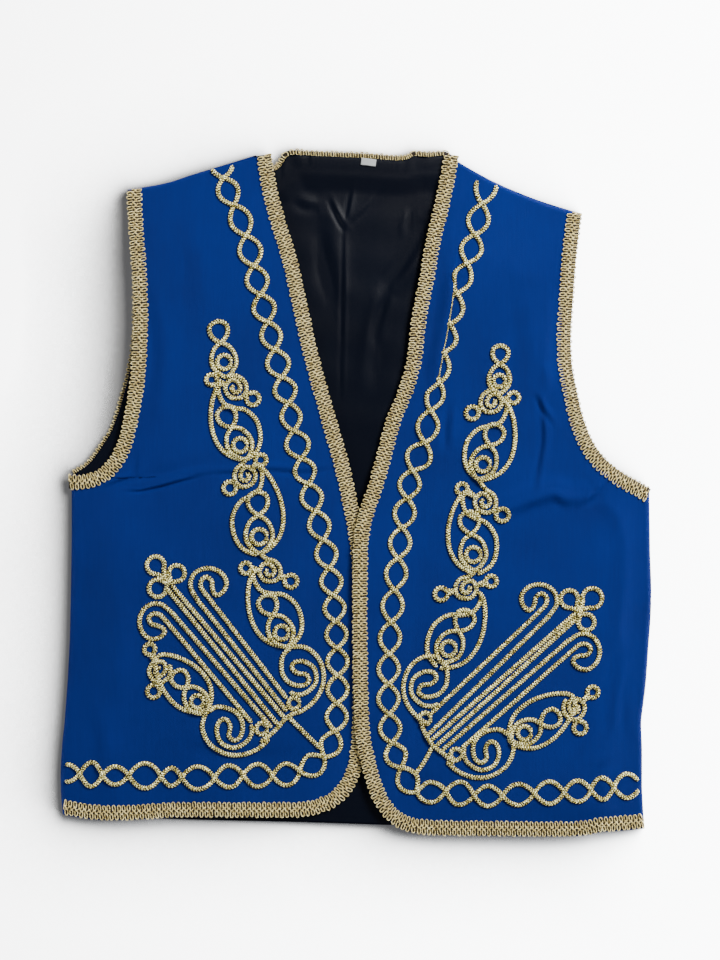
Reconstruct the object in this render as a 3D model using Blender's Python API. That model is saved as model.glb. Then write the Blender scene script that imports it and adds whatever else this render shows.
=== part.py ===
"""A folk-dance vest laid flat: blue cloth fronts and back, black satin lining,
gimp braid along every edge and couched gold cord on both fronts.

Frame: +Z up, the neck towards +Y, the wearer's left towards +X. The vest lies on
its back. Origin at the middle of its outline, on the ground.
All tables are in millimetres; the build works in metres.
"""
import math

import bmesh
import bpy
import numpy as np
from mathutils import Vector
from mathutils.bvhtree import BVHTree
from mathutils.geometry import delaunay_2d_cdt

MM = 0.001

# Layers, from the ground up
GAP = 0.3                 # between any two pieces
SHELL_T = 1.2             # back cloth with its seam turnings
LINING_T = 1.0            # satin lining
FRONT_T = 1.4             # front cloth with its own facing
BRAID_T = 1.2             # gimp braid
UNDER_BRAID_T = 1.1       # the same braid pressed under the back
CORD_T = 1.5              # couched cord
BRAID_W = 12.0
CORD_W = 4.2
UNDER_BRAID_Z = 0.2       # clear of the ground
BAND_LIFT = UNDER_BRAID_Z + UNDER_BRAID_T + GAP
LINING_Z = SHELL_T + GAP
FRONT_Z = BAND_LIFT + SHELL_T + GAP + LINING_T + GAP
LIFT_FLAT = 13.6          # the back stays lifted this far in from its edge
LIFT_END = 26.0           # and is down on the ground here
CORD_CLEAR = 1.5          # between cordwork that would touch
CORD_TOLERANCE = 0.62     # of the cord outlines
SMALLEST_HOLE = 12.0      # square millimetres, smaller ones are closed
FRONT_CELL = 15.5         # mesh size of the front panels
CROSS_LIFT = BRAID_T + FRONT_T + 2 * GAP + 0.35   # the left front over the right one

# Outlines, x and y. Each edge runs between two corners of its panel.
# outer edge of the braid: neck, front edge, hem
RIGHT_TRIM = [
    (-63.0, 254.2), (-60.0, 234.0), (-53.2, 205.5), (-43.5, 174.0), (-36.8, 144.0),
    (-27.0, 100.5), (-14.2, 54.0), (-5.2, 22.5), (1.5, -7.5), (6.8, -36.0), (9.0, -66.0),
    (9.0, -111.0), (9.0, -156.0), (8.2, -186.0), (3.8, -211.5), (-6.8, -229.5),
    (-21.0, -239.2), (-42.0, -243.8), (-87.0, -243.8), (-132.0, -243.8), (-169.5, -246.0),
    (-195.8, -246.0), (-220.5, -242.2)]
RIGHT_SIDE = [
    (-220.5, -242.2), (-222.0, -219.8), (-221.2, -193.5), (-219.0, -171.0),
    (-216.8, -141.0), (-215.2, -111.0), (-214.5, -81.0), (-213.8, -36.0), (-213.8, 13.5)]
RIGHT_ARM = [
    (-213.8, 13.5), (-204.0, 13.5), (-195.0, 16.5), (-186.0, 24.0), (-178.5, 39.0),
    (-174.8, 54.0), (-171.8, 69.0), (-168.8, 91.5), (-167.2, 129.0), (-168.0, 159.0),
    (-170.2, 189.0), (-171.8, 210.0), (-172.5, 227.2)]
RIGHT_SHOULDER = [
    (-172.5, 227.2), (-147.0, 231.8), (-124.5, 239.2), (-102.0, 246.0), (-75.0, 254.2)]

LEFT_TRIM = [
    (66.0, 254.2), (63.0, 237.8), (59.2, 219.0), (51.8, 189.0), (47.2, 160.5),
    (41.2, 130.5), (38.2, 102.8), (32.2, 79.5), (22.5, 55.5), (15.0, 27.8), (8.2, 3.8),
    (1.5, -15.8), (-2.2, -37.5), (-3.0, -66.0), (-3.0, -111.0), (-2.2, -156.0),
    (-0.8, -182.2), (3.8, -205.5), (10.5, -227.2), (20.2, -243.0), (34.5, -253.5),
    (54.0, -257.2), (108.0, -258.0), (164.2, -258.0), (183.0, -255.0), (199.5, -254.2),
    (216.8, -252.8)]
LEFT_SIDE = [
    (216.8, -252.8), (215.2, -223.5), (215.2, -193.5), (214.5, -172.5), (217.5, -148.5),
    (219.8, -118.5), (222.0, -81.0), (221.2, -43.5), (220.5, 3.8)]
LEFT_ARM = [
    (220.5, 3.8), (211.5, 9.0), (199.5, 15.8), (187.5, 25.5), (177.8, 39.0), (171.0, 56.2),
    (166.5, 75.0), (162.8, 94.5), (162.0, 117.8), (163.5, 144.0), (165.8, 174.0),
    (168.0, 192.8), (170.2, 209.2)]
LEFT_SHOULDER = [(170.2, 209.2), (145.5, 216.0), (123.0, 224.2), (100.5, 234.8), (78.0, 248.2)]

BACK_NECK = [
    (-75.0, 254.2), (-55.5, 256.5), (-33.8, 258.0), (-12.0, 255.8), (10.5, 255.8),
    (33.0, 253.5), (55.5, 255.8), (78.0, 248.2)]
BACK_RIGHT_ARM = [
    (-213.8, 15.8), (-201.0, 21.8), (-189.8, 36.8), (-182.2, 51.0), (-174.0, 81.0),
    (-169.5, 114.0), (-168.8, 144.0), (-168.8, 174.0), (-170.2, 204.0), (-172.5, 227.2)]
BACK_LEFT_ARM = [
    (220.5, 3.8), (210.8, 6.8), (198.8, 13.5), (185.2, 24.8), (175.5, 39.0), (168.8, 56.2),
    (164.2, 75.0), (160.5, 94.5), (159.8, 117.8), (161.2, 144.0), (163.5, 174.0),
    (166.5, 192.8), (170.2, 209.2)]
BACK_HEM = [
    (-220.5, -240.0), (-132.0, -241.5), (-42.0, -241.5), (48.0, -242.2), (138.0, -241.5),
    (216.0, -240.0)]

# Broad folds of the fronts: from x, y to x, y, half width, height
RIGHT_FOLDS = [
    ((-143.2, 192.8), (-154.5, 46.5), 30.0, 1.6),
    ((-184.5, -21.0), (-195.8, -208.5), 30.0, 2.0),
    ((-117.0, -186.0), (-19.5, -156.0), 34.0, 1.4),
]
LEFT_FOLDS = [
    ((79.5, 172.5), (54.0, 50.2), 22.0, 2.0),
    ((117.0, 151.5), (123.0, 16.5), 34.0, 1.8),
    ((192.0, -111.0), (186.0, -223.5), 24.0, 2.2),
    ((153.0, -223.5), (183.0, -242.2), 24.0, 1.4),
]
RIGHT_SIDE_X = -222.0
LEFT_SIDE_X = 222.0
TAB_AT = (9.4, 247.7)
PUFF = 3.4                # loft of each front over the back

# Chains: the eye's number, x, y. Two cords cross at every whole number.
RIGHT_CHAIN = [
    (-0.5, (-100.5, 243.8)), (0, (-99.0, 235.5)), (2, (-82.5, 192.0)), (5, (-66.8, 127.5)),
    (8, (-50.2, 67.5)), (11, (-36.0, 6.8)), (14, (-20.2, -57.0)), (17, (-14.2, -117.0)),
    (19, (-14.2, -158.2)), (20, (-15.8, -179.2)), (21, (-24.0, -198.0)),
    (22, (-41.2, -209.2)), (23, (-60.8, -213.0)), (25, (-105.8, -213.8)),
    (27, (-145.5, -212.2)), (29, (-189.0, -213.0)), (30, (-208.5, -212.2)),
    (30.5, (-218.2, -212.2))]
LEFT_CHAIN = [
    (-0.6, (98.2, 231.8)), (0, (94.5, 216.0)), (3, (75.8, 148.5)), (6, (62.2, 81.8)),
    (9, (42.0, 15.8)), (12, (31.5, -49.5)), (15, (24.8, -120.8)), (17, (24.8, -165.8)),
    (18, (27.0, -187.5)), (19, (33.8, -206.2)), (20, (45.8, -224.2)), (21, (66.8, -225.0)),
    (24, (133.5, -225.8)), (26, (175.5, -222.8)), (27, (193.5, -221.2)),
    (27.9, (211.5, -221.2))]
EYE = 7.6                 # half the width of an eye, between cord centres

# Scroll columns: buds, leaves and knots in order from the top.
#   bud: loop centre, foot.  leaf: start, foot, side of its S-shaped edge.
#   knot: swirl centre, first small loop, second small loop.
RIGHT_COLUMN = [
    ("bud", (-102.8, 120.8), (-96.8, 86.2)),
    ("knot", (-90.0, 78.0), (-108.0, 84.0), (-77.2, 69.8)),
    ("leaf", (-99.8, 84.0), (-84.0, 24.0), 1),
    ("bud", (-96.8, 56.2), (-84.0, 24.8)),
    ("knot", (-83.2, 12.0), (-71.2, 24.0), (-94.5, 3.0)),
    ("leaf", (-75.0, 16.5), (-70.5, -47.2), -1),
    ("bud", (-73.5, -7.5), (-72.0, -45.8)),
    ("knot", (-64.5, -59.2), (-82.5, -57.0), (-48.8, -66.8)),
    ("leaf", (-74.2, -60.0), (-51.0, -116.2), 1),
    ("bud", (-66.0, -84.0), (-51.0, -115.5)),
]
LEFT_COLUMN = [
    ("bud", (108.0, 103.5), (105.0, 71.2)),
    ("knot", (101.2, 67.5), (117.8, 70.5), (87.0, 59.2)),
    ("leaf", (109.5, 67.5), (92.2, 9.0), -1),
    ("bud", (103.5, 43.5), (93.0, 9.8)),
    ("knot", (96.8, -7.5), (79.5, 2.2), (109.5, -17.2)),
    ("leaf", (87.0, 3.0), (88.5, -59.2), 1),
    ("bud", (88.5, -21.0), (89.2, -58.5)),
    ("knot", (82.5, -72.0), (101.2, -66.8), (63.8, -76.5)),
    ("leaf", (93.0, -73.5), (65.2, -129.0), -1),
    ("bud", (81.0, -96.0), (66.0, -127.5)),
]
RIGHT_SPRIG = [
    ("knot", (-147.0, -134.2), (-154.5, -117.8), (-151.5, -148.5)),
    ("leaf", (-150.8, -125.2), (-111.0, -164.2), 1),
    ("bud", (-132.0, -139.5), (-112.5, -162.8)),
]
LEFT_SPRIG = [
    ("knot", (163.5, -162.0), (177.0, -150.0), (168.0, -176.2)),
    ("leaf", (170.2, -155.2), (117.8, -186.8), -1),
    ("bud", (146.2, -169.5), (119.2, -186.0)),
]
# Fans. Hooks: middle of the two strands where the hook starts, where each strand
# ends at the base, and the side the hook turns to. Loops: centre, radius, join.
RIGHT_FAN = {
    "hooks": [((-112.5, -82.5), (-51.8, -164.2), (-51.8, -154.5), 1),
              ((-136.5, -97.5), (-63.0, -176.2), (-78.0, -172.5), -1)],
    "strands": [((-138.0, -69.8), (-53.2, -169.5)), ((-141.8, -72.0), (-58.5, -174.0))],
    "loops": [((-150.0, -54.8), 6.6, (-140.2, -68.2)), ((-134.2, -60.8), 6.0, (-138.8, -69.0)),
              ((-148.5, -72.0), 6.6, (-140.2, -68.2))],
    "rings": [(-46.5, -158.2), (-70.5, -177.0)],
    "stem": [(-51.8, -167.2), (-39.8, -179.2), (-27.0, -192.0)],
    "base": [(-70.5, -185.2), (-60.8, -178.5), (-51.8, -168.0), (-44.2, -160.5)],
    "scrolls": [((-42.0, -138.0), 0.75, 82.0, -1), ((-90.8, -176.2), 0.80, 8.0, 1)],
}
LEFT_FAN = {
    "hooks": [((138.0, -94.5), (55.5, -184.5), (58.5, -162.8), -1),
              ((156.8, -117.8), (67.5, -189.0), (82.5, -185.2), 1)],
    "strands": [((161.2, -90.8), (61.5, -180.8)), ((165.8, -94.5), (66.0, -187.5))],
    "loops": [((159.8, -80.2), 6.6, (166.5, -90.0)), ((177.0, -79.5), 7.4, (166.5, -90.0)),
              ((172.5, -97.5), 6.0, (166.5, -90.0))],
    "rings": [(51.8, -169.5), (75.0, -196.5)],
    "stem": [(57.0, -191.2), (51.0, -202.5), (43.5, -212.2)],
    "base": [(73.5, -203.2), (65.2, -195.8), (57.0, -189.0), (51.0, -179.2), (48.8, -172.5)],
    "scrolls": [((54.0, -146.2), 0.78, 82.0, 1), ((95.2, -195.0), 0.78, 8.0, -1)],
}

# One hook, one scroll, one leaf: across and along, in the unit of each
HOOK = [(-5.0, -5), (-5.0, 5), (-2.5, 21), (5.7, 28.4), (15, 29), (24.4, 24), (30, 14.2),
        (29.2, 3.7), (22, -2), (14.1, -2.2), (12.1, 2.4), (14.6, 8), (17.8, 12.8),
        (16.5, 19.2), (10.3, 19.9), (5.6, 14.6), (5.0, 5), (5.0, -5)]
SCROLL = [(-27, -13), (-17, -20), (-1, -18), (8, -9), (9, 3), (4, 9.5), (-2.5, 6),
          (-2.7, -3), (-7.2, -9), (-13.2, -7), (-15, 2.4), (-9, 13.5), (4, 16.5),
          (15, 9), (18.6, 0), (17, -8)]
SCROLL_OUTER = [(-28, -13), (-29, 2), (-20, 16), (-4, 23.5), (12, 22.5), (26, 15), (36, 4)]
LEAF_S = [(-0.05, 0.0), (-0.07, 0.12), (-0.04, 0.25), (0.06, 0.33), (0.19, 0.40),
          (0.28, 0.55), (0.285, 0.71), (0.24, 0.85), (0.16, 0.94), (0.03, 1.0)]
LEAF_ARC = [(0.0, -0.01), (-0.09, 0.05), (-0.19, 0.2), (-0.265, 0.41), (-0.28, 0.62),
            (-0.235, 0.79), (-0.14, 0.91), (0.0, 1.0)]


def smooth(points, step):
    """A Catmull-Rom curve through the points, cut into equal steps."""
    p = np.array(points, float)
    p = np.vstack([2 * p[0] - p[1], p, 2 * p[-1] - p[-2]])
    t = np.linspace(0, 1, 12, endpoint=False)[:, None]
    runs = []
    for a, b, c, d in zip(p[:-3], p[1:-2], p[2:-1], p[3:]):
        runs.append(0.5 * (2 * b + (c - a) * t + (2 * a - 5 * b + 4 * c - d) * t ** 2
                           + (3 * b - a - 3 * c + d) * t ** 3))
    line = np.vstack(runs + [p[-2:-1]])
    return resample(line, step)


def resample(line, step):
    """The same line with points at equal distances, close to the given step."""
    seg = np.linalg.norm(np.diff(line, axis=0), axis=1)
    s = np.concatenate([[0], np.cumsum(seg)])
    count = max(2, int(round(s[-1] / step)) + 1)
    at = np.linspace(0, s[-1], count)
    return np.column_stack([np.interp(at, s, line[:, 0]), np.interp(at, s, line[:, 1])])


def beside(line, distance):
    """A line at a distance to the left of an open line."""
    t = np.gradient(line, axis=0)
    t /= np.linalg.norm(t, axis=1)[:, None]
    return line + distance * np.column_stack([-t[:, 1], t[:, 0]])


def circle(centre, radius, start=0.0):
    a = start + np.linspace(0, 2 * math.pi, 25)
    return np.array(centre) + radius * np.column_stack([np.cos(a), np.sin(a)])


def placed(shape, start, end, side):
    """A unit shape set between two points; side -1 turns it over."""
    a = np.array(start, float)
    along = np.array(end, float) - a
    across = side * np.array([-along[1], along[0]])
    s = np.array(shape, float)
    return a + s[:, :1] * across + s[:, 1:] * along


def chain_cords(table):
    """Two cords that cross at every whole number of the table."""
    t = np.array([row[0] for row in table], float)
    p = np.array([row[1] for row in table], float)
    u = np.arange(t[0], t[-1] + 1e-6, 1 / 12)
    knots = smooth_at(t, p, u)
    d = np.gradient(knots, axis=0)
    d /= np.linalg.norm(d, axis=1)[:, None]
    n = np.column_stack([-d[:, 1], d[:, 0]])
    swing = np.sin(math.pi * u)
    swing = EYE * np.sign(swing) * np.abs(swing) ** 0.85
    return [knots + n * swing[:, None], knots - n * swing[:, None]]


def smooth_at(t, p, u):
    """Cubic through p at times t, with slopes from the neighbours, read at u."""
    slope = np.gradient(p, t, axis=0)
    i = np.clip(np.searchsorted(t, u, side="right") - 1, 0, len(t) - 2)
    h = (t[i + 1] - t[i])[:, None]
    x = ((u - t[i]) / (t[i + 1] - t[i]))[:, None]
    return ((1 + 2 * x) * (1 - x) ** 2 * p[i] + x * (1 - x) ** 2 * h * slope[i]
            + x * x * (3 - 2 * x) * p[i + 1] + x * x * (x - 1) * h * slope[i + 1])


def bud_cords(loop, foot):
    """A figure eight with a ring in its lower half."""
    c = np.array(loop, float)
    length = np.linalg.norm(np.array(foot) - c)
    unit = np.array([[0, 0.26], [-0.12, 0.17], [-0.19, 0.04], [-0.17, -0.12], [0, -0.2],
                     [0.17, -0.12], [0.19, 0.04], [0.12, 0.17], [0, 0.26], [-0.17, 0.38],
                     [-0.27, 0.58], [-0.22, 0.8], [0, 1.0], [0.22, 0.8], [0.27, 0.58],
                     [0.17, 0.38], [0, 0.26]])
    body = smooth(placed(unit, loop, foot, 1), 1.0)
    ring = circle(placed([(0, 0.66)], loop, foot, 1)[0], 0.145 * length)
    return [body, ring]


def knot_cords(swirl, first, second):
    """A tight swirl between two small loops."""
    c = np.array(swirl, float)
    out = []
    for loop, radius in ((first, 4.4), (second, 4.7)):
        away = np.array(loop, float) - c
        start = math.atan2(away[1], away[0]) + math.pi
        ring = circle(loop, radius, start)
        ring[0] = ring[-1] = c + 6.5 * away / np.linalg.norm(away)
        out.append(ring)
    a = np.linspace(0, 4.2 * math.pi, 60)
    r = 8.0 - 6.0 * a / a[-1]
    out.append(c + np.column_stack([r * np.cos(a), r * np.sin(a)]))
    return out


def column_cords(rows):
    out, foot = [], None
    for row in rows:
        if row[0] == "bud":
            out += bud_cords(*row[1:])
        elif row[0] == "knot":
            out += knot_cords(*row[1:])
            if foot is not None:
                out.append(resample(np.array([foot, row[1]], float), 1.0))
        else:
            out.append(smooth(placed(LEAF_S, row[1], row[2], row[3]), 1.0))
            out.append(smooth(placed(LEAF_ARC, row[1], row[2], row[3]), 1.0))
        foot = row[2] if row[0] != "knot" else None
    return out


def fan_cords(fan):
    out = []
    for middle, outer_end, inner_end, side in fan["hooks"]:
        m = np.array(middle, float)
        away = m - (np.array(outer_end) + np.array(inner_end)) / 2
        tip = m + 0.75 * away / np.linalg.norm(away)
        hook = placed(HOOK, middle, tip, -side)
        out.append(smooth(np.vstack([[outer_end], hook, [inner_end]]), 1.0))
    for start, end in fan["strands"]:
        out.append(resample(np.array([start, end], float), 1.0))
    for centre, radius, join in fan["loops"]:
        c, j = np.array(centre, float), np.array(join, float)
        start = math.atan2(*(j - c)[::-1])
        ring = circle(c, radius, start)
        ring[0] = ring[-1] = j
        ring[1] += 0.35 * (j - ring[1])
        ring[-2] += 0.35 * (j - ring[-2])
        out.append(ring)
    for centre in fan["rings"]:
        out.append(circle(centre, 4.2))
    out += [smooth(fan["stem"], 1.0), smooth(fan["base"], 1.0)]
    for centre, size, turn, side in fan["scrolls"]:
        c = np.array(centre, float)
        a = math.radians(turn)
        for shape in (SCROLL, SCROLL_OUTER):
            s = np.array(shape, float) * size
            x = side * (s[:, 0] * math.cos(a) - s[:, 1] * math.sin(a))
            y = -(s[:, 0] * math.sin(a) + s[:, 1] * math.cos(a))
            out.append(smooth(c + np.column_stack([x, y]), 1.0))
    return out


def material(name, color, roughness, metallic=0.0):
    mat = bpy.data.materials.new(name)
    mat.use_nodes = True
    shader = mat.node_tree.nodes["Principled BSDF"]
    shader.inputs["Base Color"].default_value = (*color, 1.0)
    shader.inputs["Roughness"].default_value = roughness
    shader.inputs["Metallic"].default_value = metallic
    return mat


def add_object(name, bm, look):
    """Turn a bmesh in millimetres into a named object in metres."""
    bmesh.ops.remove_doubles(bm, verts=bm.verts, dist=0.0001)
    bmesh.ops.recalc_face_normals(bm, faces=bm.faces)
    bmesh.ops.scale(bm, vec=(MM, MM, MM), verts=bm.verts)
    mesh = bpy.data.meshes.new(name)
    bm.to_mesh(mesh)
    bm.free()
    mesh.materials.append(material(name, *look))
    obj = bpy.data.objects.new(name, mesh)
    vest.objects.link(obj)
    return obj


def distance_to(line, points, closed=True):
    """Distance of each point to a line of straight steps."""
    a = np.asarray(line)
    b = np.roll(a, -1, axis=0) if closed else a[1:]
    a = a if closed else a[:-1]
    best = np.full(len(points), 1e9)
    for p, q in zip(a, b):
        d = q - p
        t = np.clip((points - p) @ d / max(d @ d, 1e-9), 0, 1)
        best = np.minimum(best, np.linalg.norm(points - p - t[:, None] * d, axis=1))
    return best


def inside(loop, points):
    """Which points lie inside a closed loop."""
    hit = np.zeros(len(points), bool)
    for p, q in zip(loop, np.roll(loop, -1, axis=0)):
        span = (p[1] > points[:, 1]) != (q[1] > points[:, 1])
        dy = q[1] - p[1] if q[1] != p[1] else 1e-9
        hit ^= span & (points[:, 0] < p[0] + (points[:, 1] - p[1]) * (q[0] - p[0]) / dy)
    return hit


def level_loops(field, xs, ys):
    """Closed loops where a field on a grid crosses zero, the low side on the left."""
    low = field < 0
    links = {}
    cells = np.argwhere(low[:-1, :-1] | low[1:, :-1] | low[:-1, 1:] | low[1:, 1:])
    edges_of = {1: [(3, 0)], 2: [(0, 1)], 3: [(3, 1)], 4: [(1, 2)], 6: [(0, 2)],
                7: [(3, 2)], 8: [(2, 3)], 9: [(2, 0)], 11: [(2, 1)], 12: [(1, 3)],
                13: [(1, 0)], 14: [(0, 3)], 5: [(3, 0), (1, 2)], 10: [(0, 1), (2, 3)]}
    for j, i in cells:
        code = low[j, i] + 2 * low[j, i + 1] + 4 * low[j + 1, i + 1] + 8 * low[j + 1, i]
        sides = [("h", j, i), ("v", j, i + 1), ("h", j + 1, i), ("v", j, i)]
        for start, end in edges_of.get(int(code), []):
            links[sides[start]] = sides[end]

    def point(side):
        kind, j, i = side
        j2, i2 = (j, i + 1) if kind == "h" else (j + 1, i)
        f = field[j, i] / (field[j, i] - field[j2, i2])
        return (xs[i] + f * (xs[i2] - xs[i]), ys[j] + f * (ys[j2] - ys[j]))

    loops = []
    while links:
        first, side = links.popitem()
        loop = [point(first)]
        while side != first:
            loop.append(point(side))
            side = links.pop(side)
        loops.append(np.array(loop))
    return loops


def thinned(loop, tolerance, longest):
    """Drop points of a closed loop within a tolerance, then split long steps."""
    def walk(lo, hi):
        d = loop[hi % count] - loop[lo]
        p = loop[lo + 1:hi] - loop[lo]
        if not len(p):
            return []
        off = np.abs(d[0] * p[:, 1] - d[1] * p[:, 0]) / max(np.hypot(*d), 1e-9)
        k = int(np.argmax(off))
        if off[k] < tolerance:
            return []
        return walk(lo, lo + 1 + k) + [lo + 1 + k] + walk(lo + 1 + k, hi)

    count = len(loop)
    far = int(np.argmax(np.linalg.norm(loop - loop[0], axis=1)))
    keep = [0] + walk(0, far) + [far] + walk(far, count)
    corners = loop[keep]
    out = []
    for p, q in zip(corners, np.roll(corners, -1, axis=0)):
        n = max(1, int(math.ceil(np.linalg.norm(q - p) / longest)))
        out += [p + (q - p) * k / n for k in range(n)]
    return np.array(out)


def crosses_itself(loop):
    """Does a closed loop cross itself?"""
    a, b = loop, np.roll(loop, -1, axis=0)
    d = b - a

    def side(p, v, q):
        return v[:, None, 0] * (q[None, :, 1] - p[:, None, 1]) \
            - v[:, None, 1] * (q[None, :, 0] - p[:, None, 0])

    hit = (side(a, d, a) * side(a, d, b) < 0)
    return bool((hit & hit.T).any())


def clean(loop, tolerance, longest):
    """Thin a loop as far as it can go without crossing itself."""
    thin = thinned(loop, tolerance, longest)
    while crosses_itself(thin) and tolerance > 0.02:
        tolerance /= 2
        thin = thinned(loop, tolerance, longest)
    return thin


def area(loop):
    x, y = loop[:, 0], loop[:, 1]
    return 0.5 * float(np.sum(x * np.roll(y, -1) - np.roll(x, -1) * y))


def cord_field(cords, xs, ys, width):
    """Distance to the edge of the cords over a grid, below zero inside them."""
    step = xs[1] - xs[0]
    field = np.full((len(ys), len(xs)), width)
    reach = int(1.5 * width / step) + 1
    for cord in cords:
        for p in resample(cord, 0.35):
            i, j = int((p[0] - xs[0]) / step), int((p[1] - ys[0]) / step)
            if i < 0 or j < 0 or i >= len(xs) or j >= len(ys):
                continue
            jj = slice(max(0, j - reach), j + reach)
            ii = slice(max(0, i - reach), i + reach)
            near = np.hypot(xs[None, ii] - p[0], ys[jj, None] - p[1]) - width / 2
            field[jj, ii] = np.minimum(field[jj, ii], near)
    return field


def cord_outline(cords, others, width):
    """Outline, then holes, of cords that touch or cross, cut clear of the others."""
    points = np.vstack(cords)
    lo, hi = points.min(axis=0) - 2 * width, points.max(axis=0) + 2 * width
    xs, ys = np.arange(lo[0], hi[0], 0.7), np.arange(lo[1], hi[1], 0.7)
    field = cord_field(cords, xs, ys, width)
    if others:
        field = np.maximum(field, CORD_CLEAR - cord_field(others, xs, ys, width))
    loops = [l for l in level_loops(field, xs, ys) if abs(area(l)) > SMALLEST_HOLE]
    loops.sort(key=lambda l: -abs(area(l)))
    return [clean(l, CORD_TOLERANCE, 15.0) for l in loops]


def panel(name, outline, thickness, look, height, rings=(), holes=(), points=()):
    """A flat shape as thick as stated, its foot moved up to height(x, y).

    rings are extra loops of points inside it, holes are left open, points are a net.
    """
    verts, edges = [], []
    for loop in [outline, *rings, *holes]:
        start = len(verts)
        verts += [Vector(p) for p in loop]
        edges += [(start + k, start + (k + 1) % len(loop)) for k in range(len(loop))]
    verts += [Vector(p) for p in points]
    face = [list(range(len(outline)))]
    co, _, faces, _, _, _ = delaunay_2d_cdt(verts, edges, face, 1, 1e-4)
    middle = np.array([[sum(co[i].x for i in f) / 3, sum(co[i].y for i in f) / 3]
                       for f in faces])
    keep = np.ones(len(faces), bool)
    for hole in holes:
        keep &= ~inside(hole, middle)
    bm = bmesh.new()
    foot = [bm.verts.new((v.x, v.y, height(v.x, v.y))) for v in co]
    top = [bm.verts.new((v.co.x, v.co.y, v.co.z + thickness)) for v in foot]
    rim = set()
    for f in [f for f, kept in zip(faces, keep) if kept]:
        bm.faces.new([foot[i] for i in reversed(f)])
        bm.faces.new([top[i] for i in f])
        for a, b in zip(f, list(f[1:]) + [f[0]]):
            if (b, a) in rim:
                rim.remove((b, a))
            else:
                rim.add((a, b))
    for a, b in sorted(rim):
        bm.faces.new([foot[a], foot[b], top[b], top[a]])
    return add_object(name, bm, look)


def net(outline, cell, margin):
    """Points of a square net inside an outline, clear of its edge."""
    lo, hi = outline.min(axis=0), outline.max(axis=0)
    x, y = np.meshgrid(np.arange(lo[0] + 0.37 * cell, hi[0], cell),
                       np.arange(lo[1] + 0.41 * cell, hi[1], cell))
    x = x + 0.5 * cell * (np.arange(x.shape[0]) % 2)[:, None]
    p = np.column_stack([x.ravel(), y.ravel()])
    p = p[inside(outline, p)]
    return p[distance_to(outline, p) > margin]


def inset(outline, distance, tolerance=0.7, longest=34.0):
    """A closed loop at a distance inside an outline."""
    lo, hi = outline.min(axis=0), outline.max(axis=0)
    step = 3.0
    xs, ys = np.arange(lo[0], hi[0], step), np.arange(lo[1], hi[1], step)
    x, y = np.meshgrid(xs, ys)
    p = np.column_stack([x.ravel(), y.ravel()])
    d = distance_to(outline, p) * np.where(inside(outline, p), -1, 1) + distance
    loops = level_loops(d.reshape(x.shape), xs, ys)
    return clean(max(loops, key=lambda l: abs(area(l))), tolerance, longest)


def step_up(x, start, end):
    t = min(1.0, max(0.0, (x - start) / (end - start)))
    return t * t * (3 - 2 * t)


def folds(table, x, y):
    """Sum of long soft ridges with tapering ends."""
    total = 0.0
    for (x0, y0), (x1, y1), width, height in table:
        dx, dy = x1 - x0, y1 - y0
        t = min(1.0, max(0.0, ((x - x0) * dx + (y - y0) * dy) / (dx * dx + dy * dy)))
        off = math.hypot(x - x0 - t * dx, y - y0 - t * dy)
        total += height * math.exp(-(off / width) ** 2)
    return total


def on_top(obj, gap):
    """Height just above a piece at x, y, in millimetres."""
    mesh = obj.data
    tree = BVHTree.FromPolygons([v.co.copy() for v in mesh.vertices],
                                [tuple(p.vertices) for p in mesh.polygons])

    def height(x, y):
        at = Vector((x * MM, y * MM, 0.1))
        hit = tree.ray_cast(at, Vector((0, 0, -1)))[0]
        if hit is None:
            hit = tree.find_nearest(Vector((at.x, at.y, 0.03)))[0]
        return hit.z / MM + gap
    return height


for old in list(bpy.data.objects):
    bpy.data.objects.remove(old)
vest = bpy.data.collections.new("embroidered_vest")
bpy.context.scene.collection.children.link(vest)

BLUE = ((0.004, 0.036, 0.20), 0.55)
BLACK = ((0.010, 0.012, 0.020), 0.30)
BRAID_GOLD = ((0.33, 0.25, 0.12), 0.45, 0.5)
CORD_GOLD = ((0.48, 0.36, 0.15), 0.40, 0.6)
WHITE = ((0.80, 0.80, 0.78), 0.70)


def outline_of(*edges):
    """A closed outline, counter-clockwise; edges are lines that meet at corners."""
    loop = np.vstack(edges)
    far = np.linalg.norm(loop - np.roll(loop, 1, axis=0), axis=1) > 1.5
    loop = loop[far]
    return loop if area(loop) > 0 else loop[::-1]


def strip(line, turn):
    """Outline of a braid along a line, on its right (-1) or left (1)."""
    return outline_of(line, beside(line, turn * BRAID_W)[::-1])


# Back: outer cloth and lining, lifted along the edges by the braid below them
right_side = smooth(RIGHT_SIDE, 24.0)[1:-1]
left_side = smooth(LEFT_SIDE, 24.0)[1:-1]
right_shoulder = smooth(RIGHT_SHOULDER, 18.0)[1:-1]
left_shoulder = smooth(LEFT_SHOULDER, 18.0)[1:-1]
back_outline = outline_of(
    beside(smooth(BACK_NECK, 16.0), -5.0), left_shoulder[::-1],
    beside(smooth(BACK_LEFT_ARM, 16.0)[::-1], -2.0), left_side[::-1],
    beside(smooth(BACK_HEM, 24.0)[::-1], -2.4), right_side,
    beside(smooth(BACK_RIGHT_ARM, 16.0), -2.0), right_shoulder)
rings = [inset(back_outline, LIFT_FLAT), inset(back_outline, LIFT_END)]


def back_lift(x, y):
    d = distance_to(back_outline, np.array([[x, y]]))[0]
    return BAND_LIFT * (1 - min(1.0, max(0.0, (d - LIFT_FLAT - 0.6)
                                         / (LIFT_END - LIFT_FLAT - 1.2))))


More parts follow.
